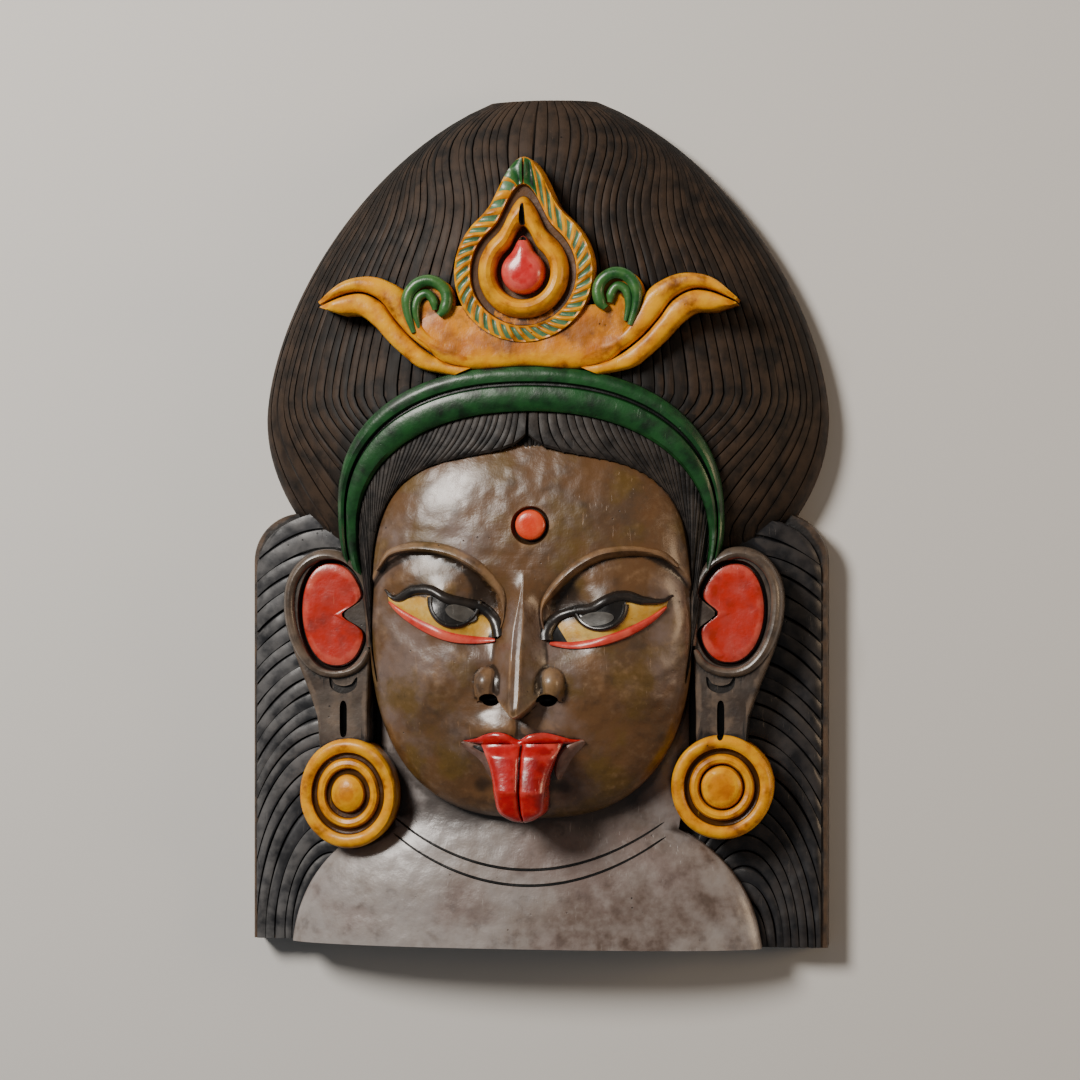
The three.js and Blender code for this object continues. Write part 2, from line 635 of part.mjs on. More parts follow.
// A round earring: an outer roll, a ring and a boss in its middle.
function earring({ x, y, across, up, turn }) {
  const roll = 1 - EARRING_ROLL_WIDTH / across;
  const ring = EARRING_RING_RADIUS / across;
  const ringIn = (EARRING_RING_RADIUS - EARRING_RING_WIDTH) / across;
  const boss = EARRING_BOSS_RADIUS / across;
  const foot = BEHIND - EARRING_LEVEL;
  const low = -EARRING_GROOVE;
  const profile = [
    [0, foot], [0.94, foot], [1, -6], [0.97, -1.5], [(1 + roll) / 2, 0], [roll, low], [ring + 0.03, low],
    [(ring + ringIn) / 2, -0.5], [ringIn, low], [boss + 0.02, low], [boss - 0.06, 0], [0, 1.5],
  ];
  return dish(profile, 13).scale(across, up, 1).rotateY(turn * DEGREE).translate(x, y, EARRING_LEVEL);
}

// The radius of the crown's drop at a turn from its right-hand side: round below and drawn up to a point.
function dropShape(geometry, { x, y, radius, tip }) {
  const position = geometry.attributes.position;
  for (let i = 0; i < position.count; i++) {
    const across = position.getX(i);
    const up = position.getY(i);
    const out = Math.hypot(across, up);
    const high = out > 0 ? Math.max(up / out, 0) : 0;
    const drawn = 1 + (tip / radius - 1) * high ** 9;
    const pinch = 1 - 0.1 * Math.exp(-(((high - 0.86) / 0.12) ** 2));
    position.setXY(i, x + across * radius * pinch, y + up * radius * drawn);
  }
  return geometry;
}

function crownDrop() {
  const { level, edge } = DROP;
  const { outer, inner } = DROP_RING;
  const low = edge - 3;
  const profile = [
    [0, BEHIND], [1.06, BEHIND], [1, edge], [0.87, edge + 2.5], [0.75, low], [outer + 0.02, low],
    [(outer + inner) / 2, level], [inner, low], [DROP_BEAD + 0.02, low], [DROP_BEAD - 0.08, level - 1],
    [0, level + 1],
  ];
  return dropShape(dish(profile, 17), DROP);
}

// A leaf between its lower and upper edge, both listed from stem to tip, with its edges rounded down.
function leaf(lowerEdge, upperEdge, level, steps) {
  const curve = (edge) => new THREE.SplineCurve(edge.map(([x, y]) => new THREE.Vector2(x, y)));
  const lower = curve(lowerEdge);
  const upper = curve(upperEdge);
  const shares = [0, 0.15, 0.85, 1];
  const drops = [LEAF_ROUNDING, 0, 0, LEAF_ROUNDING];
  return reliefBlock(steps, shares.length - 1, (u, v) => {
    const row = Math.round(v * (shares.length - 1));
    const low = lower.getPoint(u);
    const high = upper.getPoint(u);
    const blunt = LEAF_ROUNDING * 0.7 * smooth(u, 0.8, 1);
    const share = shares[row];
    return [mix(low.x, high.x, share), mix(low.y, high.y, share), level - Math.max(drops[row], blunt)];
  });
}

// The right-hand wing of two long leaves, one above the other.
function wing() {
  const raise = (edge, by) => edge.map(([x, y]) => [x, y + by]);
  return [
    leaf(WING_LOWER_EDGE, raise(WING_GROOVE, -LEAF_GAP), CROWN_LEVEL - 4, 9),
    leaf(raise(WING_GROOVE, LEAF_GAP), WING_UPPER_EDGE, CROWN_LEVEL - 2, 9),
  ];
}

// The broad leaf that lies like a boat under the drop.
function middleLeaf() {
  return leaf(BOAT_LOWER_EDGE, BOAT_UPPER_EDGE, CROWN_LEVEL, 10);
}

// A curled tendril on each side of the drop.
function scroll(side) {
  const points = [new THREE.Vector3(side * (SCROLL.x + 8), SCROLL.y - 24, SCROLL.level)];
  for (let i = 0; i <= 9; i++) {
    const turn = mix(SCROLL.start, SCROLL.stop, i / 9) * DEGREE;
    const radius = SCROLL.radius * mix(1.05, 0.55, i / 9);
    points.push(new THREE.Vector3(
      side * (SCROLL.x + radius * Math.cos(turn)), SCROLL.y + radius * Math.sin(turn), SCROLL.level,
    ));
  }
  return tube(points, SCROLL.roll, 8, 5);
}

function carving() {
  const raised = [
    panelBoard(), locks(-1), locks(1), shoulders(), neck(), head(), headband(), fringe(), nose(),
    upperLip(), tongue(), middleLeaf(), crownDrop(), scroll(-1), scroll(1),
  ];
  for (const side of [-1, 1]) {
    raised.push(eyebrow(side), eyelid(side, true), eyelid(side, false), nostril(side));
  }
  let wood = solid(bun());
  for (const form of raised) wood = wood.add(solid(form));
  for (const form of wing()) wood = wood.add(solid(form)).add(solid(form).mirror([1, 0, 0]));
  for (const side of [-1, 1]) wood = wood.add(ear(side)).subtract(solid(nostrilHole(side)));
  for (const one of EARRINGS) wood = wood.add(solid(earring(one)));
  for (const lowest of NECK_LINES) wood = wood.subtract(solid(neckLine(lowest)));
  const block = new THREE.BoxGeometry(BLOCK_WIDTH, BLOCK_HEIGHT, BLOCK_DEPTH);
  block.translate(0, 0, BLOCK_DEPTH / 2);
  return wood.subtract(solid(bindiRing())).add(solid(bindi())).intersect(solid(block));
}

const cut = carving().getMesh();
const geometry = new THREE.BufferGeometry();
geometry.setAttribute('position', new THREE.BufferAttribute(new Float32Array(cut.vertProperties), 3));
geometry.setIndex(new THREE.BufferAttribute(new Uint32Array(cut.triVerts), 1));

const paintedWood = new THREE.MeshStandardMaterial({ color: 0x4a3a2e, roughness: 0.5, metalness: 0 });
const mask = new THREE.Mesh(geometry, paintedWood);
mask.name = 'kali_mask';

const group = new THREE.Group();
group.add(mask);
export default group;
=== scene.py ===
import json
from math import cos, pi, radians, sin

import bmesh
import bpy
import numpy as np
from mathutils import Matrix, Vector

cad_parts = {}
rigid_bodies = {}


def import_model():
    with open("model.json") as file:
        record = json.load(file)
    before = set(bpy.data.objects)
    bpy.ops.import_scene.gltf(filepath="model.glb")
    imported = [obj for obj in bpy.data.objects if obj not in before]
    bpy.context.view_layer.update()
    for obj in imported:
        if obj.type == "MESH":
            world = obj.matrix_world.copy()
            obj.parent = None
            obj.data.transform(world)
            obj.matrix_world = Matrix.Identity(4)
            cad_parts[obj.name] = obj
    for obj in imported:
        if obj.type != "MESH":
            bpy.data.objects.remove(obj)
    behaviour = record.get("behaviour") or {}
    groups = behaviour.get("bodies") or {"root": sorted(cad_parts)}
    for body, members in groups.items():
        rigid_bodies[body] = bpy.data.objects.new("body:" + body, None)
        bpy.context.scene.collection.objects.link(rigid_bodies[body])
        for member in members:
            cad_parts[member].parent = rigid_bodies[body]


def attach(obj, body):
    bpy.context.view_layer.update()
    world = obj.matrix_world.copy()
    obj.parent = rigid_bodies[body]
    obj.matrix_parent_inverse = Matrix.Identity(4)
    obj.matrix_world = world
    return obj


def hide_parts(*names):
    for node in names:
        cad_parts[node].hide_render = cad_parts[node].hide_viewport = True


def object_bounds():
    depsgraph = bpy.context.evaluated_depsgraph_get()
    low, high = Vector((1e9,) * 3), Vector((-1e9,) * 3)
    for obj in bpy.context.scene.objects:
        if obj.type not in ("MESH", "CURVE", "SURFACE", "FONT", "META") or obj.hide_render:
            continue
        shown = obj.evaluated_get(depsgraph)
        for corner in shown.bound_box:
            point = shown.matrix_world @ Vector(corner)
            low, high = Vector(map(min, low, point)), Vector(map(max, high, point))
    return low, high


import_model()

cad_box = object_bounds()
carver = np.random.default_rng(7)

# The piled-up hair is one big dome of the block, cut off flat at the top. Long strands are
# combed into it with a gouge: they fan out from the flat top and gather above the ears. It
# is painted black brown, and the paint is rubbed thin along the strands.
MM = 0.001
BEHIND = -5  # millimetres: every carved form is worked out down to here, then cut off at the flat back
TOP = cad_box[1].y / MM
BOTTOM = cad_box[0].y / MM
BUN_X = 4
BUN_HALF_WIDTH = 206
BUN_WIDEST_Y = 75
BUN_RISE = 239
BUN_FALL = 155
BUN_POINTEDNESS = 1.67
BUN_EDGE_LEVEL = 14
BUN_CROWN_LEVEL = 76
BUN_STRANDS = 58
BUN_ROWS = 46
BUN_GROOVE = 2.0
BUN_LOWEST = -24
BUN_CROWDED = (195, 320)  # heights between which the strands close up towards the top
BUN_GATHERED = (-95, 10)  # how far below the middle they draw in above the ears
FULL_PITCH = 6  # strands that are closer together than this are cut less deep
BRUSH_DEPTH = 0.35  # of the marks in the paint
PANEL_TOP = 6.5
STRAND_SECTION = (0.0, 0.07, 0.26, 0.5, 0.74, 0.93)  # where the points of one strand lie across it
STRAND_HEIGHTS = np.array((-1.0, -0.1, 0.08, 0.14, 0.08, -0.1))

raised = bpy.data.collections.new("raised")
cuts = bpy.data.collections.new("cuts")
inlays = bpy.data.collections.new("inlays")
finishes = []


def lerp(a, b, share):
    return a + (b - a) * share


def smooth(value, low, high):
    share = np.clip((value - low) / (high - low), 0, 1)
    return share * share * (3 - 2 * share)


def reach(across, up, power):
    """How far out a place lies in a rounded outline: 0 at the middle and 1 on the line."""
    return (np.abs(across) ** power + np.abs(up) ** power) ** (1 / power)


def swell(out, power, softness):
    """The swell of a carved form: 1 in its middle and 0 at its outline."""
    return np.maximum(1 - out**power, 0) ** softness


class Value:
    """A number that varies over a surface. Adding and multiplying it adds the nodes that do so."""

    def __init__(self, tree, socket):
        self.tree = tree
        self.socket = socket

    def math(self, operation, *terms):
        node = self.tree.nodes.new("ShaderNodeMath")
        node.operation = operation
        for slot, term in zip(node.inputs, terms):
            if isinstance(term, Value):
                self.tree.links.new(term.socket, slot)
            else:
                slot.default_value = term
        return Value(self.tree, node.outputs[0])

    def __add__(self, other):
        return self.math("ADD", self, other)

    def __sub__(self, other):
        return self.math("SUBTRACT", self, other)

    def __rsub__(self, other):
        return self.math("SUBTRACT", other, self)

    def __mul__(self, other):
        return self.math("MULTIPLY", self, other)

    def within(self, low, high):
        """0 below low, 1 above high and soft in between."""
        share = (self - low) * (1 / (high - low))
        share = self.math("MINIMUM", self.math("MAXIMUM", share, 0.0), 1.0)
        return share * share * (3.0 - share * 2.0)

    __radd__ = __add__
    __rmul__ = __mul__


class Finish:
    """A painted finish. Its nodes are added one by one and its shader closes it."""

    def __init__(self, name):
        self.material = bpy.data.materials.new(name)
        self.material.use_nodes = True
        self.tree = self.material.node_tree
        self.tree.nodes.clear()
        self.place = self.node("ShaderNodeTexCoord", output="Object")
        self.hollow = self.node("ShaderNodeAttribute", {"attribute_name": "hollow"}, output="Fac")
        self.tint = self.node("ShaderNodeAttribute", {"attribute_name": "tint"}, output="Fac")

    def node(self, kind, settings=None, sockets=None, output=0):
        node = self.tree.nodes.new(kind)
        for name, value in (settings or {}).items():
            setattr(node, name, value)
        for name, value in (sockets or {}).items():
            if isinstance(value, Value):
                self.tree.links.new(value.socket, node.inputs[name])
            else:
                node.inputs[name].default_value = value
        return Value(self.tree, node.outputs[output]) if node.outputs else None

    def counted(self, millimetres, stretch=(1, 1, 1)):
        """The place on the piece, counted in steps of that many millimetres, drawn out by stretch."""
        scale = tuple(1 / (MM * millimetres * share) for share in stretch)
        return self.node("ShaderNodeMapping", {}, {"Vector": self.place, "Scale": scale})

    def noise(self, millimetres, detail, stretch=(1, 1, 1)):
        """Soft patches about that many millimetres across."""
        at = self.counted(millimetres, stretch)
        return self.node("ShaderNodeTexNoise", {},
                         {"Vector": at, "Scale": 1.0, "Detail": detail, "Roughness": 0.55})

    def dots(self, millimetres, share):
        """Sparse round specks, 1 in their middle."""
        sockets = {"Vector": self.counted(millimetres), "Scale": 1.0}
        far = self.node("ShaderNodeTexVoronoi", {"feature": "F1"}, sockets, "Distance")
        return 1.0 - far.within(share * 0.4, share)

    def mix(self, first, second, share):
        return self.node("ShaderNodeMix", {"data_type": "RGBA"}, {0: share, 6: first, 7: second}, 2)

    def close(self, **sockets):
        """Ends the nodes in a shader with these sockets, and gives the number of the finish."""
        shader = self.node("ShaderNodeBsdfPrincipled", {}, sockets)
        self.node("ShaderNodeOutputMaterial", {}, {"Surface": shader})
        finishes.append(self.material)
        return len(finishes) - 1


def paint(red, green, blue):
    """A colour as seen on screen, as the linear colour that the nodes take."""
    parts = [part / 255 for part in (red, green, blue)]
    return (*(p / 12.92 if p < 0.04045 else ((p + 0.055) / 1.055) ** 2.4 for p in parts), 1.0)


def painted(name, main, patch, grime_and_shade, worn_and_sheen, tinges=(), roughness=0.42, patches=40, wear_and_sheen=0.5, stain=0.2,
            grain=(1, 1, 1), coat=0.25, dents=3.0, shine=0.5, hollow_grime_and_shade=1.0):
    """Paint on carved wood under old varnish: patchy, grimy and painted darker as shade in the hollows, and
    rubbed on the ridges, which on the cold black hair is also a painted sheen.
    """
    made = Finish(name)
    broad = made.noise(patches, 4.0)
    fine = made.noise(5, 4.0, grain)
    blotch = made.noise(13, 6.0)
    colour = made.mix(paint(*main), paint(*patch), (broad * 0.8 + fine * 0.3).within(0.42, 0.72))
    for place, tinge in enumerate(tinges):
        spread = made.noise(patches * (1.7 - 0.6 * place), 5.0)
        colour = made.mix(colour, paint(*tinge), spread.within(0.48, 0.64) * 0.8)
    colour = made.mix(colour, paint(*grime_and_shade), blotch.within(0.53, 0.75) * stain)
    # The hollows are darkened with the grime colour: grime that has gathered there, and painted shade where
    # less light reaches.
    colour = made.mix(colour, paint(*grime_and_shade), (made.hollow + (blotch - 0.5) * 0.5).within(0.1, 0.62) * hollow_grime_and_shade)
    # The ridges take the rubbed colour: wear, and on the left side's cold black hair also a painted sheen.
    rubbed = ((fine - 0.5) * 0.8 + (made.tint - 0.5) * 0.3 - made.hollow).within(0.1, 0.55)
    colour = made.mix(colour, paint(*worn_and_sheen), rubbed * (1.0 - blotch.within(0.34, 0.7)) * wear_and_sheen)
    scratches = made.noise(1.7, 2.0, (1, 13, 1)).within(0.66, 0.74) * broad.within(0.4, 0.6)
    colour = made.mix(colour, paint(*worn_and_sheen), scratches * 0.35)
    specks = made.dots(7, 0.12) * made.noise(30, 1.0).within(0.55, 0.7)
    colour = made.mix(colour, paint(*grime_and_shade), specks)
    strokes = made.noise(2.2, 3.0, grain)
    relief = made.noise(17, 1.0) * dents + fine * 0.7 + strokes * 0.4 - specks - scratches * 0.3
    bump = made.node("ShaderNodeBump", {}, {"Height": relief, "Distance": BRUSH_DEPTH * MM, "Strength": 1.0})
    gloss = broad * 0.3 + blotch * 0.2 + (roughness - 0.23)
    return made.close(**{"Base Color": colour, "Roughness": gloss, "Normal": bump, "Coat Weight": coat,
                         "Coat Roughness": 0.2, "Coat IOR": 1.5, "Specular IOR Level": shine})


def settle(form, place, finish, into, tint=None):
    """Moves the points of a form to their place, in millimetres, and puts it with the others."""
    start = np.array([vert.co for vert in form.verts])
    middles = np.array([face.calc_center_median() for face in form.faces])
    for vert, point in zip(form.verts, np.stack(place(*start.T), axis=1) * MM):
        vert.co = point
    shades = tint(*start.T) if tint else np.full(len(start), 0.5)
    which = finish(*middles.T) if callable(finish) else np.full(len(middles), finish)
    for face, index in zip(form.faces, which):
        face.material_index = int(index)
    layer = form.verts.layers.float.new("tint")
    for vert, shade in zip(form.verts, shades):
        vert[layer] = shade
    bmesh.ops.remove_doubles(form, verts=form.verts, dist=1e-7)
    bmesh.ops.recalc_face_normals(form, faces=form.faces)
    mesh = bpy.data.meshes.new("form")
    form.to_mesh(mesh)
    form.free()
    into.objects.link(bpy.data.objects.new("form", mesh))


def relief(columns, rows, place, finish, into=raised, tint=None, foot=BEHIND):
    """A closed form over a grid. place(u, v) gives its top in millimetres, and its foot is flat."""
    form = bmesh.new()
    bmesh.ops.create_grid(form, x_segments=columns, y_segments=rows, size=0.5)
    rim = [edge for edge in form.edges if edge.is_boundary]
    skirt = bmesh.ops.extrude_edge_only(form, edges=rim)["geom"]
    low = [part for part in skirt if isinstance(part, bmesh.types.BMVert)]
    bmesh.ops.translate(form, verts=low, vec=(0, 0, -1))
    bmesh.ops.contextual_create(form, geom=[edge for edge in form.edges if edge.is_boundary])

    def over(x, y, z):
        places = place(x + 0.5, y + 0.5)
        return places[0], places[1], np.where(z > -0.5, places[2], foot)

    shade = (lambda x, y, z: tint(x + 0.5, y + 0.5)) if tint else None
    choose = (lambda x, y, z: finish(x + 0.5, y + 0.5)) if callable(finish) else finish
    settle(form, over, choose, into, shade)


def combed(count, unevenness):
    """Where the lines of count strands lie across a lock, from 0 to 1, and each strand's own shade."""
    widths = 1 + unevenness * carver.uniform(-1, 1, count)
    edges = np.concatenate([[0], np.cumsum(widths)]) / widths.sum()
    lines = [edges[i] + (edges[i + 1] - edges[i]) * part for i in range(count) for part in STRAND_SECTION]
    return np.array([*lines, 1.0]), carver.uniform(0, 1, count + 1)


def strand_at(lines, share):
    """Which line of a lock lies at a share of its width, in which strand, and its place within the strand."""
    column = np.rint(share * (len(lines) - 1)).astype(int)
    return column, column // len(STRAND_SECTION), column % len(STRAND_SECTION)


def bun_half_width(y):
    above = y > BUN_WIDEST_Y
    power = np.where(above, BUN_POINTEDNESS, 2)
    share = np.minimum(np.abs(y - BUN_WIDEST_Y) / np.where(above, BUN_RISE, BUN_FALL), 0.999)
    return BUN_HALF_WIDTH * (1 - share**power) ** (1 / power)


def bun_level(x, y):
    above = y > BUN_WIDEST_Y
    power = np.where(above, BUN_POINTEDNESS, 2)
    out = reach((x - BUN_X) / BUN_HALF_WIDTH, (y - BUN_WIDEST_Y) / np.where(above, BUN_RISE, BUN_FALL), power)
    return BUN_EDGE_LEVEL + (BUN_CROWN_LEVEL - BUN_EDGE_LEVEL) * swell(out, 2.3, 0.6)


bun_lines, bun_shades = combed(BUN_STRANDS, 0.3)
bun_sway = carver.uniform(0, 2 * pi, BUN_STRANDS + 1)


def bun_point(u, v):
    column, strand, part = strand_at(bun_lines, u)
    wave = bun_sway[strand]
    sway = (0.035 * np.sin(9 * v + wave) + 0.02 * np.sin(31 * v + wave * 3)) / BUN_STRANDS
    inside = (column > 0) & (column < len(bun_lines) - 1)
    line = np.clip(2 * (bun_lines[column] + sway * inside) - 1, -1, 1)
    y = lerp(BUN_LOWEST, TOP, v)
    crowding = 0.95 + 3.0 * smooth(y, *BUN_CROWDED) ** 1.5
    across = np.tanh(crowding * line) / np.tanh(crowding)
    across = np.sign(across) * np.abs(across) ** (1 + 1.8 * smooth(-y, *BUN_GATHERED))
    half = bun_half_width(np.maximum(y, PANEL_TOP - 12))
    x = BUN_X + across * half
    pitch = 2 * half / BUN_STRANDS * crowding / np.tanh(crowding) / np.cosh(crowding * line) ** 2
    depth = BUN_GROOVE * np.clip(pitch / FULL_PITCH, 0.25, 1) * (0.8 + 0.2 * np.sin(5 * v + wave * 2))
    uneven = 0.5 * (bun_shades[strand] - 0.5) * (part > 0)
    return x, y, bun_level(x, y) + depth * (STRAND_HEIGHTS[part] + uneven)


bun_paint = painted("black_brown_hair_paint", (25, 22, 20), (40, 32, 26), (4, 3, 3), (78, 60, 46),
                    roughness=0.58, patches=60, stain=0.3, grain=(1, 8, 1), coat=0.0, dents=1.2, shine=0.22)
relief(len(bun_lines) - 1, BUN_ROWS, bun_point, bun_paint,
       tint=lambda u, v: bun_shades[strand_at(bun_lines, u)[1]])

# The loose hair behind ears and shoulders is a flat board with rounded upper corners and a
# smooth border. Its locks are cut as long curved steps that sweep from the edges in behind
# the ears. The paint is a cold black; on the left it is rubbed light grey along the ridges as a
# painted sheen, and on the right it is painted darker, partly as painted shade on that side.
PANEL_CORNER = 35.5
PANEL_LEVEL = 23
PANEL_RISE = 15
PANEL_RISE_FROM = (60, 160)  # how far above the foot the hair starts to rise towards the ears
PANEL_BORDER = {-1: 2.5, 1: 4.5}
PANEL_WORN_EDGE = 1.3
LOCK_CENTRE_X = 150
LOCK_INNER_X = 118
LOCK_STRETCH = 2.0
LOCK_COUNT = 24
LOCK_DEPTH = 2.6
LOCK_FIRST_RADIUS = 11
LOCK_CORNER_MORE = 6  # how much rounder the locks' corner is than the board's
LOCK_ROUNDING = 1.6
half_board = cad_box[1].x / MM


def board_point(u, v):
    turn = np.maximum(v - 0.25, 0) / 0.75 * pi / 2
    corner_y = PANEL_TOP - PANEL_CORNER
    y = np.where(v < 0.25, lerp(BOTTOM, corner_y, v / 0.25), corner_y + PANEL_CORNER * np.sin(turn))
    side = 2 * u - 1
    edge = np.abs(side) > 0.9
    x = side * (half_board - PANEL_CORNER + PANEL_CORNER * np.cos(turn))
    inner = np.where(edge, x, np.sign(side) * (np.abs(x) / np.maximum(np.abs(side), 1e-6) - PANEL_WORN_EDGE))
    return np.where(np.abs(side) < 1e-6, 0, inner), y, PANEL_LEVEL - PANEL_WORN_EDGE * (edge | (v > 0.99))


# The left side's paint is paler, and its light grey rubbed colour is a painted sheen along the ridges; the
# right side's paint is darker, partly as painted shade.
panel_paints = {
    -1: painted("cold_black_hair_paint_with_painted_sheen", (30, 31, 34), (50, 50, 53), (3, 3, 4), (112, 110, 109),
                roughness=0.36, patches=30, wear_and_sheen=0.6, stain=0.12, grain=(3, 3, 1)),
    1: painted("black_hair_paint", (18, 19, 23), (30, 30, 33), (4, 4, 5), (84, 78, 74),
               patches=25, wear_and_sheen=0.35, stain=0.4, grain=(3, 3, 1), coat=0.15, dents=5.0, shine=0.4),
}
border_paint = painted("worn_border_paint", (27, 22, 19), (42, 33, 26), (8, 7, 6), (104, 78, 54),
                       roughness=0.45, wear_and_sheen=0.6, stain=0.4)
relief(4, 20, board_point, border_paint)


def side_locks(side):
    lines, shades = combed(LOCK_COUNT, 0.22)
    edge = half_board - PANEL_BORDER[side]
    corner = PANEL_CORNER + LOCK_CORNER_MORE
    corner_x, corner_y = edge - corner, PANEL_TOP - PANEL_BORDER[side] - corner
    last = np.hypot(corner_x + corner * 0.4 - LOCK_CENTRE_X,
                    (corner_y + corner * 0.92 - BOTTOM) / LOCK_STRETCH)
    phase = carver.uniform(0, 2 * pi, LOCK_COUNT + 1)

    def outside(x, y):
        beyond = (x > corner_x) & (y > corner_y) & (np.hypot(x - corner_x, y - corner_y) > corner)
        return (x > edge) | beyond | (y > corner_y + corner)

    def point(u, v):
        column, strand, part = strand_at(lines, v)
        radius = lerp(LOCK_FIRST_RADIUS, last, lines[column]) + 0.35 * np.sin(7 * u + phase[strand])

        def swept(turn):
            return LOCK_CENTRE_X + radius * np.cos(turn), BOTTOM + LOCK_STRETCH * radius * np.sin(turn)

        low, high = np.zeros_like(u), np.full_like(u, pi / 2)
        for _ in range(24):  # halves the turn in which each lock leaves the board's edge
            middle = (low + high) / 2
            out = outside(*swept(middle))
            low, high = np.where(out, middle, low), np.where(out, high, middle)
        start = np.where(radius > edge - LOCK_CENTRE_X, high, 0)
        stop = pi / 2 + np.arcsin(np.clip((LOCK_CENTRE_X - LOCK_INNER_X) / radius, 0, 0.95))
        x, y = swept(lerp(start, stop, u))
        inward = np.clip((edge - x) / (edge - LOCK_INNER_X), 0, 1)
        rise = PANEL_RISE * inward * smooth(y - BOTTOM, *PANEL_RISE_FROM)
        rounded = LOCK_ROUNDING * (1 - smooth(u, 0, 0.06))
        depth = LOCK_DEPTH * (1 + 0.25 * np.sin(4 * u + phase[strand] * 2))
        uneven = 0.3 * (shades[strand] - 0.5) * (part > 0)
        level = PANEL_LEVEL + LOCK_DEPTH + 0.4 + rise - rounded
        return side * x, y, level + depth * (STRAND_HEIGHTS[part] + uneven)

    relief(30, len(lines) - 1, point, panel_paints[side], tint=lambda u, v: shades[strand_at(lines, v)[1]])


side_locks(-1)
side_locks(1)

# The shoulders and the neck are one smooth swelling below the chin, cut off square at the
# foot of the block. Two thin lines are cut round the throat. The skin paint is a bronze
# brown that has gone greyish mauve on the chest, under a glossy varnish.
SHOULDER_X = -7.5
SHOULDER_HALF_WIDTH = 172
SHOULDER_RISE = 105
SHOULDER_BELOW = 25  # how far below the block the shoulders' outline has its middle
SHOULDER_POWER = 2.5
SHOULDER_LEVEL = 34
CHEST_LEVEL = 62
NECK_BLEND = 2.5  # how softly the neck runs into the chest
NECK_HALF_WIDTH = 112
NECK_LEVEL = 50
NECK_EDGE_LEVEL = 31
NECK_TOP_Y = -70
NECK_LINES = (-248.7, -259.8)
NECK_LINE_HALF_LENGTH = 99
NECK_LINE_RISE = 35
NECK_LINE_RADIUS = 1.2
FACE_X = -0.5
MOUTH_X = -3


def bust_level(x, y):
    up = (y - BOTTOM + SHOULDER_BELOW) / (SHOULDER_RISE + SHOULDER_BELOW)
    out = reach((x - SHOULDER_X) / SHOULDER_HALF_WIDTH, up, SHOULDER_POWER)
    chest = SHOULDER_LEVEL + (CHEST_LEVEL - SHOULDER_LEVEL) * swell(out, 2.4, 0.6)
    round_neck = np.sqrt(np.maximum(1 - ((x - FACE_X) / NECK_HALF_WIDTH) ** 2, 0))
    neck = lerp(NECK_EDGE_LEVEL, NECK_LEVEL, round_neck)
    return np.logaddexp(chest / NECK_BLEND, neck / NECK_BLEND) * NECK_BLEND


def bust_point(u, v):
    y = lerp(BOTTOM, NECK_TOP_Y, v**1.15)
    up = np.clip((y - BOTTOM + SHOULDER_BELOW) / (SHOULDER_RISE + SHOULDER_BELOW), 0, 1)
    shoulder = SHOULDER_HALF_WIDTH * (1 - up**SHOULDER_POWER) ** (1 / SHOULDER_POWER)
    across = np.sin((u - 0.5) * pi)
    wide = shoulder > NECK_HALF_WIDTH
    middle = np.where(wide, SHOULDER_X, lerp(FACE_X, SHOULDER_X, shoulder / NECK_HALF_WIDTH))
    x = middle + np.where(wide, shoulder, NECK_HALF_WIDTH) * across
    return x, y, bust_level(x, y)


def along(route, share):
    """Places on a smooth line through a route's points, with share running from 0 to 1."""
    route = np.array(route, float)
    posts = np.vstack([2 * route[0] - route[1], route, 2 * route[-1] - route[-2]])
    at = np.clip(share, 0, 1) * (len(route) - 1)
    leg = np.minimum(at.astype(int), len(route) - 2)
    t = (at - leg)[:, None]
    a, b, c, d = (posts[leg + step] for step in range(4))
    return 0.5 * (2 * b + (c - a) * t + (2 * a - 5 * b + 4 * c - d) * t**2 + (3 * b - a - 3 * c + d) * t**3)


def between(first, second, share):
    """The x and y of the places at a share of the way from the first places to the second."""
    return lerp(first[:, 0], second[:, 0], share), lerp(first[:, 1], second[:, 1], share)


def unit(vectors):
    return vectors / np.linalg.norm(vectors, axis=1)[:, None]


def heading(route, share):
    """The direction in which a line runs at a share of its length."""
    return unit(along(route, share + 0.004) - along(route, share - 0.004))


def rod(route, radius, finish, steps, sides, into=raised, flat=1.0):
    """A round rod along a line of x, y, level points. radius(share) may change along its length."""
    form = bmesh.new()
    bmesh.ops.create_grid(form, x_segments=steps, y_segments=sides, size=0.5)

    def place(x, y, z):
        share, turn = x + 0.5, 2 * pi * y
        ahead = heading(route, share)
        sideways = unit(np.cross(ahead, (0, 0, 1)))
        upward = np.cross(sideways, ahead)
        out = sideways * np.cos(turn)[:, None] + upward * (np.sin(turn) * flat)[:, None]
        return (along(route, share) + out * radius(share)[:, None]).T

    start = np.array([vert.co for vert in form.verts])
    for vert, point in zip(form.verts, np.stack(place(*start.T), axis=1)):
        vert.co = point
    bmesh.ops.remove_doubles(form, verts=form.verts, dist=1e-4)
    bmesh.ops.holes_fill(form, edges=[edge for edge in form.edges if edge.is_boundary], sides=0)
    settle(form, lambda x, y, z: (x, y, z), finish, into)


chest_paint = painted("mauve_chest_paint", (146, 139, 136), (124, 112, 104), (44, 35, 30), (176, 170, 166),
                      tinges=[(88, 66, 52), (120, 104, 98)], roughness=0.36, patches=60, wear_and_sheen=0.35,
                      stain=0.35, coat=0.4, dents=5.0, hollow_grime_and_shade=0.8)
line_paint = painted("black_line_paint", (14, 12, 11), (20, 17, 16), (5, 4, 4), (50, 42, 36), roughness=0.4)
relief(64, 46, bust_point, chest_paint)
for lowest in NECK_LINES:
    spots = np.linspace(-1, 1, 13)
    xs, ys = MOUTH_X + NECK_LINE_HALF_LENGTH * spots, lowest + NECK_LINE_RISE * spots**2
    rod(np.stack([xs, ys, bust_level(xs, ys) + 0.3], axis=1),
        lambda share: NECK_LINE_RADIUS * (0.25 + 0.75 * np.sin(pi * np.clip(share, 0, 1)) ** 0.3),
        line_paint, 60, 6, cuts)
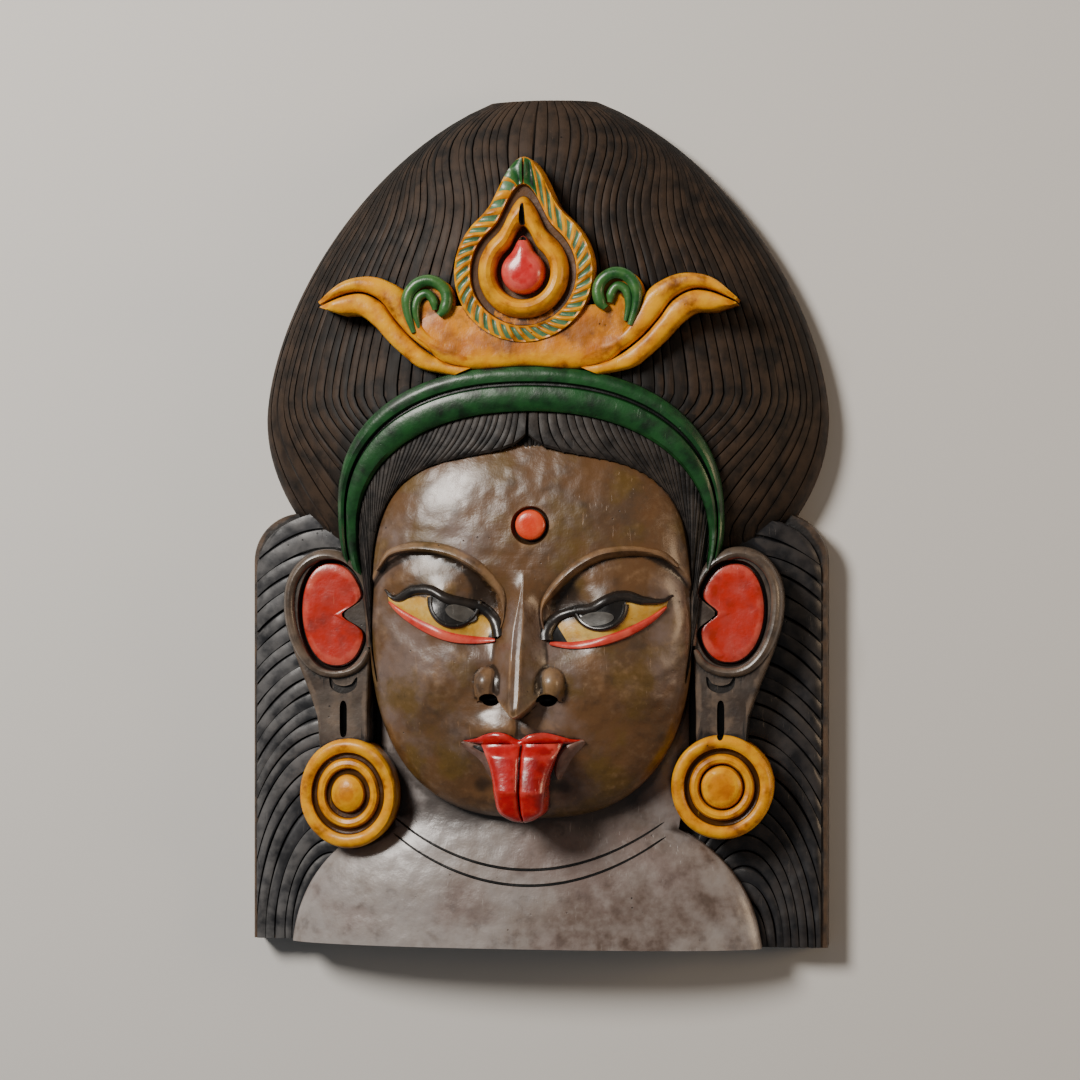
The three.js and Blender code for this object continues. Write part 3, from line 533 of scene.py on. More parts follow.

# The face swells out of the block in one smooth shape: a high forehead, hollows under the
# brows, full cheeks and a rounded chin. It is varnished bronze brown with greyish patches,
# and rubbed to a warm brown on its ridges.
FACE_Y = -60
FACE_HALF_WIDTH = 117
CHIN_DROP = 152
BROW_RISE = 132
JAW_SQUARENESS = 2.6
JAW_LEVEL = 54
FACE_LEVEL = 92
EYE_Y = -63
RIGHT_EYE_DROP = 3
MOUTH_Y = -156
BROW_ARC = {"x": 76, "y": -75, "inner": 62, "outer": 48, "height": 56}
BROW_LEDGE = 5.85
# How high each swelling or how deep each hollow is, where its middle lies and how far it reaches.
EYE_SWELLS = ((-9, 30, EYE_Y - 2, 34, 34), (-4, 80, EYE_Y, 34, 26), (5, 60, EYE_Y, 44, 26))
CHEEK_SWELL = (4, 62, -112, 48, 40)
MOUTH_SWELLS = ((9, 0, MOUTH_Y, 64, 44), (5, 0, -196, 46, 24))  # from the mouth's middle, and so are the next
LIP_SWELLS = ((2.6, 17, -146, 24, 14), (-2.2, 27, -187, 15, 13))
LIP_FURROW = {"y": -146, "half_width": 3.2, "depth": 1.2}


def swelling(x, y, height, middle_x, middle_y, across, up):
    out = np.hypot((x - middle_x) / across, (y - middle_y) / up)
    return height * np.maximum(1 - out * out, 0) ** 2


def face_level(x, y):
    """The skin of the face without the pieces that stand on it."""
    side = np.abs(x)
    above_eye = y + np.where(x > 0, RIGHT_EYE_DROP, 0)
    drop = np.where(y < FACE_Y, CHIN_DROP, BROW_RISE)
    out = reach((x - FACE_X) / FACE_HALF_WIDTH, (y - FACE_Y) / drop, JAW_SQUARENESS)
    level = JAW_LEVEL + (FACE_LEVEL - JAW_LEVEL) * swell(out, 2.6, 0.5) + swelling(side, y, *CHEEK_SWELL)
    level = level + sum(swelling(side, above_eye, *values) for values in EYE_SWELLS)
    level = level + sum(swelling(x - MOUTH_X, y, *values) for values in MOUTH_SWELLS)
    level = level + sum(swelling(np.abs(x - MOUTH_X), y, *values) for values in LIP_SWELLS)
    furrow = np.exp(-(((x - MOUTH_X) / LIP_FURROW["half_width"]) ** 2))
    level = level - LIP_FURROW["depth"] * furrow * smooth(-np.abs(y - LIP_FURROW["y"]), -9, -4)
    spread = np.where(side < BROW_ARC["x"], BROW_ARC["inner"], BROW_ARC["outer"])
    under = np.hypot((side - BROW_ARC["x"]) / spread, (y - BROW_ARC["y"]) / BROW_ARC["height"])
    ledge = smooth(1 - under, 0, 0.09) * np.exp(-np.maximum(1 - under, 0) / 0.3) * smooth(y, -78, -50)
    return level - BROW_LEDGE * ledge


def head_point(u, v):
    y = lerp(FACE_Y - CHIN_DROP * 0.9985, FACE_Y + BROW_RISE * 0.985, v)
    share = np.abs(y - FACE_Y) / np.where(y < FACE_Y, CHIN_DROP, BROW_RISE)
    half = FACE_HALF_WIDTH * (1 - share**JAW_SQUARENESS) ** (1 / JAW_SQUARENESS)
    x = FACE_X + half * np.sin((u - 0.5) * pi * 0.97) / sin(0.485 * pi)
    return x, y, face_level(x, y)


skin_paint = painted("bronze_skin_paint", (100, 70, 42), (80, 60, 42), (30, 21, 14), (160, 126, 92),
                     tinges=[(116, 98, 90), (96, 72, 26)], roughness=0.36, patches=34, wear_and_sheen=0.55, stain=0.35,
                     coat=0.35, dents=7.0, hollow_grime_and_shade=0.85)
relief(112, 150, head_point, skin_paint)


def strip(route, width, section, finish, steps, base=face_level, into=raised, foot=BEHIND):
    """A band along a line on the surface. section is how high it stands at even steps across it."""
    section = np.array(section, float)

    def point(u, v):
        middle, ahead = along(route, u), heading(route, u)
        off = (v - 0.5) * (width(u) if callable(width) else width)
        x, y = middle[:, 0] - ahead[:, 1] * off, middle[:, 1] + ahead[:, 0] * off
        return x, y, base(x, y) + section[np.rint(v * (len(section) - 1)).astype(int)]

    relief(steps, len(section) - 1, point, finish, into, foot=foot)


def tapered(widest, first, last, power=0.6):
    """A width that is widest in the middle and narrow at its two ends."""
    return lambda u: lerp(lerp(first, last, u), widest, np.maximum(np.sin(pi * u), 0) ** power)


# The brows are raised bands with a crisp upper edge, each running down beside the nose to
# the corner of the eye. They are left standing in the face's wood and painted with it.
BROWS = {
    -1: [(-109.2, -34.4), (-100.2, -22.4), (-84.8, -17.5), (-65, -18), (-47.5, -22.6), (-31.7, -31.8),
         (-20.9, -42.5), (-14.8, -52.4), (-13.7, -63.1), (-15.5, -73), (-19.5, -81)],
    1: [(107.5, -31.5), (97.2, -23.4), (82.5, -20.3), (67.7, -20.3), (52.7, -23.1), (37.6, -31.2),
        (25.4, -41.6), (17.6, -50.7), (12.7, -59.5), (12.3, -70), (15.5, -80)],
}
BROW_SECTION = (-3.0, 1.6, 3.2, 3.6, 3.3, 2.5, 1.4, 0.2, -1.2, -3.0)
for side, route in BROWS.items():
    strip(route, lambda u: 3.4 + 8.6 * np.sin(pi * np.clip(u * 1.22, 0, 1)) ** 0.7, BROW_SECTION[::-side],
          skin_paint, 70)

# The eyes are half closed. A rolled black lid hangs over a black ring with a grey pupil in
# it; the white is painted yellow, and the lower lid is a red roll.
UPPER_LIDS = {
    -1: [(-102.5, -48.4), (-97.6, -53.6), (-91.2, -54.4), (-80.7, -49.2), (-67.5, -48.7), (-54.8, -54.6),
         (-42.3, -57.8), (-30.9, -61), (-22.2, -69.3), (-18.7, -80.9)],
    1: [(104, -52), (96.8, -56.2), (83.4, -55.8), (71, -52.2), (59.2, -54.9), (46.9, -61.4), (37, -62.5),
        (23.6, -67), (16.8, -76.9), (16.5, -83)],
}
LOWER_LIDS = {
    -1: [(-99.5, -56.5), (-87, -65.3), (-70.2, -74), (-53.5, -80.3), (-38, -82.6), (-20.5, -82.8)],
    1: [(99.5, -59.5), (87.3, -69), (71, -77.7), (52.9, -83.7), (34.4, -86.2), (18.5, -85)],
}
IRIS = {-1: (-49.5, -55, 17.6, 18.4), 1: (53.6, -59.5, 18.2, 15.6)}  # middle, half width and half height
PUPIL = {-1: (-44.6, -64.8, 11.0, 5.6, -0.33), 1: (51.8, -68.2, 12.4, 4.8, 0.1)}  # the same, and its slant
RING_TURN = {-1: (0.97 * pi, 1.98 * pi), 1: (1.02 * pi, 2.03 * pi)}  # from where to where the ring shows
INNER_WHITE_END = {-1: 0.94, 1: 0.84}  # how far along the eye its yellow reaches
LOWER_LID_WIDTH = {-1: 10.2, 1: 8.8}
EYE_WHITE_RISE = 0.8
RING_SECTION = (-1, 2.0, 3.0, 3.3, 3.0, 2.0, -1)
UPPER_LID_SECTION = (-2, 2.6, 4.1, 4.6, 4.3, 3.0, -2)
LOWER_LID_SECTION = (-2, 1.0, 2.2, 2.7, 2.6, 2.0, -2)
sclera_paint = painted("yellow_eye_paint", (198, 146, 40), (210, 174, 88), (54, 36, 16), (228, 204, 134),
                       roughness=0.4, patches=12, stain=0.25)
lid_paint = painted("black_lid_paint", (12, 11, 11), (19, 17, 16), (4, 4, 4), (58, 50, 44), roughness=0.34,
                    coat=0.3)
pupil_paint = painted("grey_pupil_paint", (66, 64, 61), (86, 83, 79), (14, 14, 13), (116, 112, 106),
                      roughness=0.42, patches=12, coat=0.1, hollow_grime_and_shade=0.5)
lower_lid_paint = painted("red_lid_paint", (192, 36, 26), (212, 66, 50), (80, 16, 12), (230, 116, 92),
                          roughness=0.36, patches=16)


def eyeball_level(x, y):
    return face_level(x, y) + EYE_WHITE_RISE


def eye(side):
    upper, lower = UPPER_LIDS[side], LOWER_LIDS[side]
    middle_x, middle_y, iris_across, iris_up = IRIS[side]
    line = along(upper, np.linspace(0, 1, 80))
    order = np.argsort(line[:, 0])

    def white(u, v):
        x, y = between(along(lower, u), along(upper, 0.06 + 0.9 * u), v)
        return x, y, eyeball_level(x, y) + 1.2 * np.sin(pi * v)

    def iris(u, v):
        turn = pi * (1 + lerp(0.02, 0.98, u))
        x = middle_x + iris_across * np.cos(turn)
        top = np.interp(x, line[order, 0], line[order, 1])
        low = middle_y + iris_up * np.sin(turn)
        y = lerp(low, np.maximum(top, low + 1), v)
        return x, y, eyeball_level(x, y) + lerp(2.6, 1.4, smooth(v, 0, 0.6))

    def pupil(u, v):
        x, y, across, up, slant = PUPIL[side]
        turn = pi * lerp(0.03, 0.97, u)
        sideways, upward = -across * np.cos(turn), up * np.sin(turn) * (2 * v - 1)
        x = x + sideways * cos(slant) - upward * sin(slant)
        y = y + sideways * sin(slant) + upward * cos(slant)
        return x, y, eyeball_level(x, y) + 2.9 - 0.5 * np.sin(pi * v) * np.sin(turn)

    relief(60, 8, white, lambda u, v: np.where(u > INNER_WHITE_END[side], lid_paint, sclera_paint))
    relief(28, 10, iris, lid_paint)
    relief(28, 8, pupil, pupil_paint)
    turns = np.linspace(*RING_TURN[side], 17)
    ring = np.stack([middle_x + iris_across * np.cos(turns), middle_y + iris_up * np.sin(turns)], axis=1)
    strip(ring, 5.6, RING_SECTION, lid_paint, 36, eyeball_level)
    strip(upper, lambda u: 1.6 + 7.4 * smooth(u, 0, 0.3) + 2.2 * smooth(u, 0.7, 1), UPPER_LID_SECTION,
          lid_paint, 70)
    strip([(x, y - 0.6) for x, y in lower], tapered(LOWER_LID_WIDTH[side], 1.0, 3.0),
          LOWER_LID_SECTION[::side], lower_lid_paint, 60)


eye(-1)
eye(1)

# The nose has a narrow flat ridge that starts between the brows. Its sides spread downwards
# into two rounded wings, and its tip hangs in a point between the black nostrils, which are
# bored into the wood. It has the skin's paint, rubbed bright along the ridge.
NOSE_X = -3
NOSE_TOP_Y = -34
NOSE_TIP_LEVEL = 122.5
NOSE_RIDGE_HALF_WIDTH = 3.3
NOSE_TOP_HALF_WIDTH = 13
NOSE_FOOT_HALF_WIDTH = 25
NOSE_WIDEST = 38  # half width of the form with both wings
NOSE_RIM = ((0, 3, 8, 13, 17, 24, 28, 32, 38), (-137, -135.5, -131, -125.5, -121.5, -121, -126, -128.5, -122))
WING_X = 23.2
WING_Y = -115.5
WING_SIZE = (9.4, 13.2, 13)
NOSTRIL = {"x": 20.5, "y": -125.8, "size": (7.8, 5.0, 12), "rise": 7}
RIDGE_SHARE = 0.24  # of the nose's steps across, how many are on its flat ridge
NOSE_UNDERSIDE = 0.08  # of its steps down, how many turn in under the tip
WING_BLEND = 2.2  # how softly the ridge's slope runs into the wings


def nose_point(u, v):
    down = 1 - v
    under = np.maximum(down - (1 - NOSE_UNDERSIDE), 0) / NOSE_UNDERSIDE
    fall = np.minimum(down / (1 - NOSE_UNDERSIDE), 1)
    side = 2 * u - 1
    ridge = NOSE_RIDGE_HALF_WIDTH * (0.15 + 0.85 * smooth(fall, 0.05, 0.45))
    ridge = ridge * (1 - 0.35 * smooth(fall, 0.85, 1))
    widest = lerp(NOSE_TOP_HALF_WIDTH, NOSE_WIDEST, smooth(fall, 0.1, 0.75))
    out = np.maximum(np.abs(side) - RIDGE_SHARE, 0) / (1 - RIDGE_SHARE)
    offset = np.where(out > 0, lerp(ridge, widest, out**1.15), ridge * np.abs(side) / RIDGE_SHARE)
    x = NOSE_X * smooth(down, 0, 0.6) + np.sign(side) * offset
    y = lerp(NOSE_TOP_Y, np.interp(offset, *NOSE_RIM), fall) - 2.5 * under
    skin = face_level(x, y)
    foot = lerp(NOSE_TOP_HALF_WIDTH, NOSE_FOOT_HALF_WIDTH, fall**1.4)
    slope = np.clip(1 - (offset - ridge) / (foot - ridge), 0, 1) ** lerp(1.9, 1.25, fall)
    top = lerp(face_level(x * 0, y * 0 + NOSE_TOP_Y), NOSE_TIP_LEVEL, fall) - 1.6 * smooth(fall, 0.94, 1)
    bridge = lerp(skin, top, slope)
    wing_out = reach((offset - WING_X) / WING_SIZE[0], (y - WING_Y) / WING_SIZE[1], 2.2)
    wing = skin - 1 + WING_SIZE[2] * swell(wing_out, 2, 0.55)
    crease = 1.1 * np.exp(-(((wing_out - 1.1) / 0.08) ** 2)) * smooth(y, -127, -118)
    blended = np.logaddexp(wing / WING_BLEND, bridge / WING_BLEND) * WING_BLEND
    level = np.where(wing_out < 1, np.where(offset < WING_X, blended, np.maximum(wing, bridge)),
                     bridge - crease * smooth(slope, 0.9, 0.3))
    return x, y, lerp(level, skin - 0.5, smooth(under, 0, 1)) - 0.6 * (np.abs(side) > 0.999)


relief(56, 72, nose_point, skin_paint)


def nostril(side):
    middle_x, middle_y = NOSE_X + side * NOSTRIL["x"], NOSTRIL["y"]
    across, up, deep = NOSTRIL["size"]
    level = face_level(middle_x, middle_y) + NOSTRIL["rise"]
    form = bmesh.new()
    bmesh.ops.create_uvsphere(form, u_segments=28, v_segments=18, radius=1)
    settle(form, lambda x, y, z: (middle_x + across * x, middle_y + up * y, level + deep * z),
           line_paint, cuts)


nostril(-1)
nostril(1)

# The mouth is open: a bow-shaped red upper lip, a plain lower lip that runs down on both
# sides, and the long red tongue, put out and bent down over the chin, with a groove down it.
UPPER_LIP_TOP = [(-43.6, -154.6), (-33.9, -152.8), (-26.9, -149.8), (-18.5, -148), (-10.7, -149.3),
                 (-2.6, -153.2), (4.8, -149.4), (14.9, -148), (24.2, -150), (33.5, -152.8), (42, -153.4)]
UPPER_LIP_FOOT = [(-43.6, -155.4), (-34, -156.2), (-25, -156.4), (-16, -156.4), (-8.5, -157.4),
                  (-2.6, -160.2), (5, -157.6), (15, -156.4), (24, -156), (33.5, -155.6), (42, -154)]
LOWER_LIP = {
    -1: [(-44.8, -156.2), (-38, -160), (-31.5, -163.4), (-27, -168.6), (-24.2, -176), (-22.6, -184)],
    1: [(43, -154.6), (35.6, -159.4), (30, -165.4), (26, -173.4), (23.4, -182)],
}
LOWER_LIP_SECTION = (-2.0, 1.6, 2.8, 3.0, 2.6, 1.9, 1.1, 0.2, -0.8, -2.5)
MOUTH_OPENING = [(-42.5, -156), (-36, -158.5), (-28, -162.5), (-10, -168), (10, -168), (25, -164),
                 (33, -158.6), (41, -154.6)]
MOUTH_FLOOR = 92
MOUTH_CUT_LEVEL = 125
TONGUE_EDGES = {
    -1: [(-29, -156.6), (-23.6, -167), (-19.8, -179.5), (-18.3, -192), (-15.8, -203.5), (-8.5, -209.3),
         (-1, -211.6)],
    1: [(28.6, -155.4), (22.6, -168.5), (18.2, -180.9), (16.8, -193.5), (15.3, -203.5), (10, -208.6),
        (2.5, -211.6)],
}
TONGUE_BEND = 0.45  # how far down it bends over the chin
TONGUE_LEVELS = (105.5, 112, 99)  # in the mouth, at the bend and at the tip
TONGUE_FURROW = 2.0
red_paint = painted("red_tongue_paint", (174, 8, 12), (192, 26, 24), (74, 6, 6), (224, 88, 70),
                    tinges=[(126, 4, 6)], roughness=0.25, patches=20, stain=0.25, coat=0.6, dents=4.0)
lip_skin_paint = painted("mauve_lip_paint", (104, 74, 62), (122, 92, 82), (34, 20, 16), (168, 136, 124),
                         roughness=0.34, patches=20, wear_and_sheen=0.4, coat=0.4, hollow_grime_and_shade=0.8)


def upper_lip(u, v):
    x, y = between(along(UPPER_LIP_FOOT, u), along(UPPER_LIP_TOP, u), v)
    full = np.sin(pi * np.clip(u, 0, 1)) ** 0.4
    return x, y, face_level(x, y) + 0.4 + 4.4 * full * np.sin(pi * (0.12 + 0.8 * v)) ** 0.5


def tongue(u, v):
    side = 2 * u - 1
    x, y = between(along(TONGUE_EDGES[-1], v), along(TONGUE_EDGES[1], v), u)
    back = np.where(v < TONGUE_BEND, lerp(*TONGUE_LEVELS[:2], np.minimum(v / TONGUE_BEND, 1)),
                    lerp(*TONGUE_LEVELS[1:], np.maximum(v - TONGUE_BEND, 0) / (1 - TONGUE_BEND)))
    lobes = 2.4 * np.sin(pi * np.clip(np.abs(side) ** 0.8, 0, 1)) ** 0.7 * (1 - 0.4 * smooth(v, 0.5, 0.9))
    furrow = TONGUE_FURROW * np.exp(-((side / 0.06) ** 2))
    throat = 4.5 * (1 - smooth(v, 0, 0.14))
    hang = 4.5 * smooth(v, 0.84, 1) ** 2 + 2.5 * np.abs(side) ** 8
    return x, y, back + lobes - furrow - throat - hang


def mouth_opening(u, v):
    x, y = between(along(MOUTH_OPENING, u), along(UPPER_LIP_FOOT, 0.02 + 0.96 * u), v)
    return x, y - 0.4, np.full_like(u, MOUTH_CUT_LEVEL)


relief(80, 10, upper_lip, red_paint)
relief(40, 6, mouth_opening, line_paint, into=cuts, foot=MOUTH_FLOOR)
relief(48, 60, tongue, red_paint, into=inlays)
for side, route in LOWER_LIP.items():
    strip(route, tapered(13, 2, 1.2, 0.5), LOWER_LIP_SECTION[::side], lip_skin_paint, 44)

# The forehead carries a round dot, left standing in a ring that is cut round it with a small
# gouge. It is painted orange red, and the cut keeps the skin's brown with grime and painted shade in it.
BINDI = (4.4, -2.4)
BINDI_RADIUS = 10.5
BINDI_GROOVE = 3.4


def finer(profile, scale, longest=2.4):
    """A profile with more points on its long runs, its foot apart. scale is the radius of one in shares."""
    points = list(profile[:3])
    for start, stop in zip(profile[2:], profile[3:]):
        steps = int(np.ceil(np.hypot((stop[0] - start[0]) * scale, stop[1] - start[1]) / longest))
        points += [lerp(np.array(start), np.array(stop), step / steps) for step in range(1, steps + 1)]
    return np.array(points, float).T


def turned(profile, sides, finish, middle=(0, 0, 0), outline=None, into=raised, tilt=0.0, scale=1):
    """A form turned round its middle, from pairs of radius and height, foot first. outline gives its edge."""
    form = bmesh.new()
    radii, heights = finer(profile, scale)
    steps = len(radii) - 1
    bmesh.ops.create_uvsphere(form, u_segments=sides, v_segments=steps, radius=1)

    def place(x, y, z):
        ring = np.rint((np.arcsin(np.clip(z, -1, 1)) / pi + 0.5) * steps).astype(int)
        turn = np.arctan2(y, x)
        edge_x, edge_y = outline(turn) if outline else (np.cos(turn), np.sin(turn))
        across, up = radii[ring] * edge_x, radii[ring] * edge_y
        return middle[0] + across, middle[1] + up, middle[2] + heights[ring] - tilt * across

    def choose(x, y, z):
        ring = (np.arcsin(np.clip(z, -1, 1)) / pi + 0.5) * steps
        return finish(np.interp(ring, range(steps + 1), radii), np.interp(ring, range(steps + 1), heights))

    settle(form, place, choose if callable(finish) else finish, into)


bindi_paint = painted("orange_dot_paint", (218, 56, 18), (226, 72, 34), (64, 18, 10), (238, 110, 70),
                      roughness=0.3, patches=12)
bindi_middle = (*BINDI, face_level(*BINDI))
cut_radius = BINDI_RADIUS + BINDI_GROOVE
turned([(0, -4.5), (cut_radius - 2.5, -4.5), (cut_radius - 0.6, -2), (cut_radius, 0.2),
        (cut_radius + 2, 6), (0, 6)], 48, skin_paint, bindi_middle, into=cuts)
turned([(0, -9), (BINDI_RADIUS, -9), (BINDI_RADIUS + 0.3, -1.5), (BINDI_RADIUS - 0.3, 0.6),
        (BINDI_RADIUS - 1.6, 1.7), (BINDI_RADIUS - 4, 2.3), (0, 2.6)],
       48, bindi_paint, bindi_middle, into=inlays)

# The fringe is short hair combed down from under the band, parted over the nose. Its ends
# curl outwards and stand a little proud of the forehead.
BAND_OUTER = {"x": -1, "y": 6, "across": 139.5, "up": 104.5, "power": 2.3}
BAND_INNER = {"x": 1, "y": -12, "across": 126.5, "up": 89.5, "power": 2.2}
HAIRLINE = {"x": 1, "y": -60, "across": 115, "up": 107, "power": 3.2}
BAND_TOP_LEVEL = 82
BAND_SIDE_LEVEL = 58
BAND_TURN = radians(16)
FRINGE_STRANDS = {-1: 42, 1: 34}
FRINGE_PARTING = 16
FRINGE_GROOVE = 1.5
FRINGE_PROUD = 3.4
FRINGE_CURL = 0.024
FRINGE_ROUNDING = 1.6


def arch(shape, share, below):
    """Places along an arch over the face at even distances, from its right foot to its left foot."""
    turn = np.linspace(-below, pi + below, 600)
    c, s = np.cos(turn), np.sin(turn)
    x = shape["x"] + shape["across"] * np.sign(c) * np.abs(c) ** (2 / shape["power"])
    y = shape["y"] + shape["up"] * np.sign(s) * np.abs(s) ** (2 / shape["power"])
    far = np.concatenate([[0], np.cumsum(np.hypot(np.diff(x), np.diff(y)))])
    at = np.clip(share, 0, 1) * far[-1]
    return np.interp(at, far, x), np.interp(at, far, y), np.interp(at, far, turn)


def band_level(turn):
    return lerp(BAND_SIDE_LEVEL, BAND_TOP_LEVEL, np.maximum(np.sin(turn), 0) ** 0.8)


fringe_paint = painted("fringe_paint", (19, 18, 18), (30, 27, 26), (4, 4, 4), (92, 84, 78),
                       roughness=0.52, patches=25, wear_and_sheen=0.35, stain=0.4, coat=0.0, dents=2.0, shine=0.25)


def fringe(side):
    lines, shades = combed(FRINGE_STRANDS[side], 0.25)

    def point(u, v):
        column, strand, part = strand_at(lines, u)
        out = 0.0015 + 0.4985 * lines[column]
        curl = FRINGE_CURL * (1 - v) ** 1.6 * smooth(out, 0, 0.05) * smooth(0.5 - out, 0, 0.15)
        inner_x, inner_y, _ = arch(HAIRLINE, 0.5 - side * (out + curl), BAND_TURN * 1.2)
        outer_x, outer_y, turn = arch(BAND_INNER, 0.5 - side * out, BAND_TURN)
        end = 1.3 * STRAND_HEIGHTS[part] + FRINGE_PARTING * np.exp(-out / 0.019)
        x = lerp(inner_x, outer_x, v)
        y = lerp(inner_y + end, outer_y, v)
        skin = np.maximum(face_level(inner_x, inner_y), BAND_SIDE_LEVEL - 4) + FRINGE_PROUD
        hair = np.maximum(lerp(skin, band_level(turn) - 5, v) + 1.2 * np.sin(pi * v), face_level(x, y) + 1)
        rounded = FRINGE_ROUNDING * (1 - smooth(v, 0, 0.1))
        return x, y, hair - rounded + FRINGE_GROOVE * (STRAND_HEIGHTS[part] + 0.4 * (shades[strand] - 0.5))

    relief(len(lines) - 1, 12, point, fringe_paint, tint=lambda u, v: shades[strand_at(lines, u)[1]])


fringe(-1)
fringe(1)

# The headband holds the dome above the fringe and ends behind the ears. It is carved as two
# green rolls, a broad one and a narrow one, with a dark groove between them.
band_paint = painted("green_band_paint", (5, 50, 17), (4, 34, 12), (6, 9, 5), (38, 98, 46),
                     roughness=0.4, patches=30, stain=0.45, coat=0.2)
BAND_SECTION = np.array([(0, -9), (0.02, -2), (0.09, 0.6), (0.25, 2.3), (0.42, 2.6), (0.53, 1.4),
                         (0.58, -2.2), (0.62, -2.4), (0.66, 0.9), (0.77, 2.0), (0.88, 1.2), (0.97, -1.2),
                         (1, -9)])


def band_point(u, v):
    row = np.rint(v * (len(BAND_SECTION) - 1)).astype(int)
    share, rise = BAND_SECTION[row].T
    inner_x, inner_y, _ = arch(BAND_INNER, u, BAND_TURN)
    outer_x, outer_y, turn = arch(BAND_OUTER, u, BAND_TURN)
    return lerp(inner_x, outer_x, share), lerp(inner_y, outer_y, share), band_level(turn) + rise


relief(110, len(BAND_SECTION) - 1, band_point, band_paint)

# The ears have a rolled rim, a kidney-shaped hollow with an orange red pad left in it, and a
# long lobe, into which a shallow crescent and a slot are cut. Their paint is a dark brown.
EAR_LEVEL = 56
EAR_HOLLOW_DEPTH = 6.5
EAR_PAD_RISE = 5
EAR_PAD_GAP = 3.0
EAR_PAD_HALF_WIDTH = 23.3
EAR_PAD_HALF_HEIGHT = {-1: 37.2, 1: 35.2}
EAR_NOTCH = {-1: 17, 1: 13.5}  # how far the point of the ear's edge reaches into the pad
EAR_PAD_X, EAR_PAD_Y = 143.5, -65
LOBE_X = 136
LOBE_SLOT = (2.8, -126, -154)  # its half width, top and foot
CRESCENT = [(126, -110), (129, -116.5), (136, -119), (143, -116.5), (146, -110)]
CRESCENT_DEPTH = 2.2
EAR_SHIFT = {-1: (-0.5, -2), 1: (0, 0)}
EAR_OUTLINE = [(118, -60), (119, -45), (126, -30), (138, -20), (152, -18), (166, -24.5), (176, -37),
               (180, -54), (178, -75), (171, -97), (162, -120), (155, -142), (153, -160), (152, -172),
               (136, -174), (120, -172), (118, -158), (118, -138), (117, -110), (116, -84), (118, -60)]
EAR_MIDDLE = (146, -74)
EAR_RIM = [(116, -88), (116.5, -70), (119, -50), (126.5, -34), (139, -24.5), (152, -22.5), (164.5, -28.5),
           (173, -41), (175.5, -56), (173.5, -74), (167, -91), (157, -102.5), (145, -107), (132, -105.5),
           (123, -100), (117.5, -91)]
RIM_SECTION = (-2, 2.2, 3.6, 4.0, 3.4, 1.8, -2)
ear_paint = painted("dark_ear_paint", (58, 48, 41), (74, 64, 56), (12, 9, 8), (132, 112, 94),
                    tinges=[(92, 80, 70)], roughness=0.38, patches=25, wear_and_sheen=0.45, stain=0.35,
                    coat=0.35, hollow_grime_and_shade=0.85)
pad_paint = painted("orange_pad_paint", (186, 34, 12), (178, 56, 44), (60, 12, 8), (220, 110, 88),
                    tinges=[(150, 30, 10)], roughness=0.3, patches=16, stain=0.35, coat=0.45, dents=5.0)


def ear_top(x, y):
    return np.full_like(x, EAR_LEVEL)


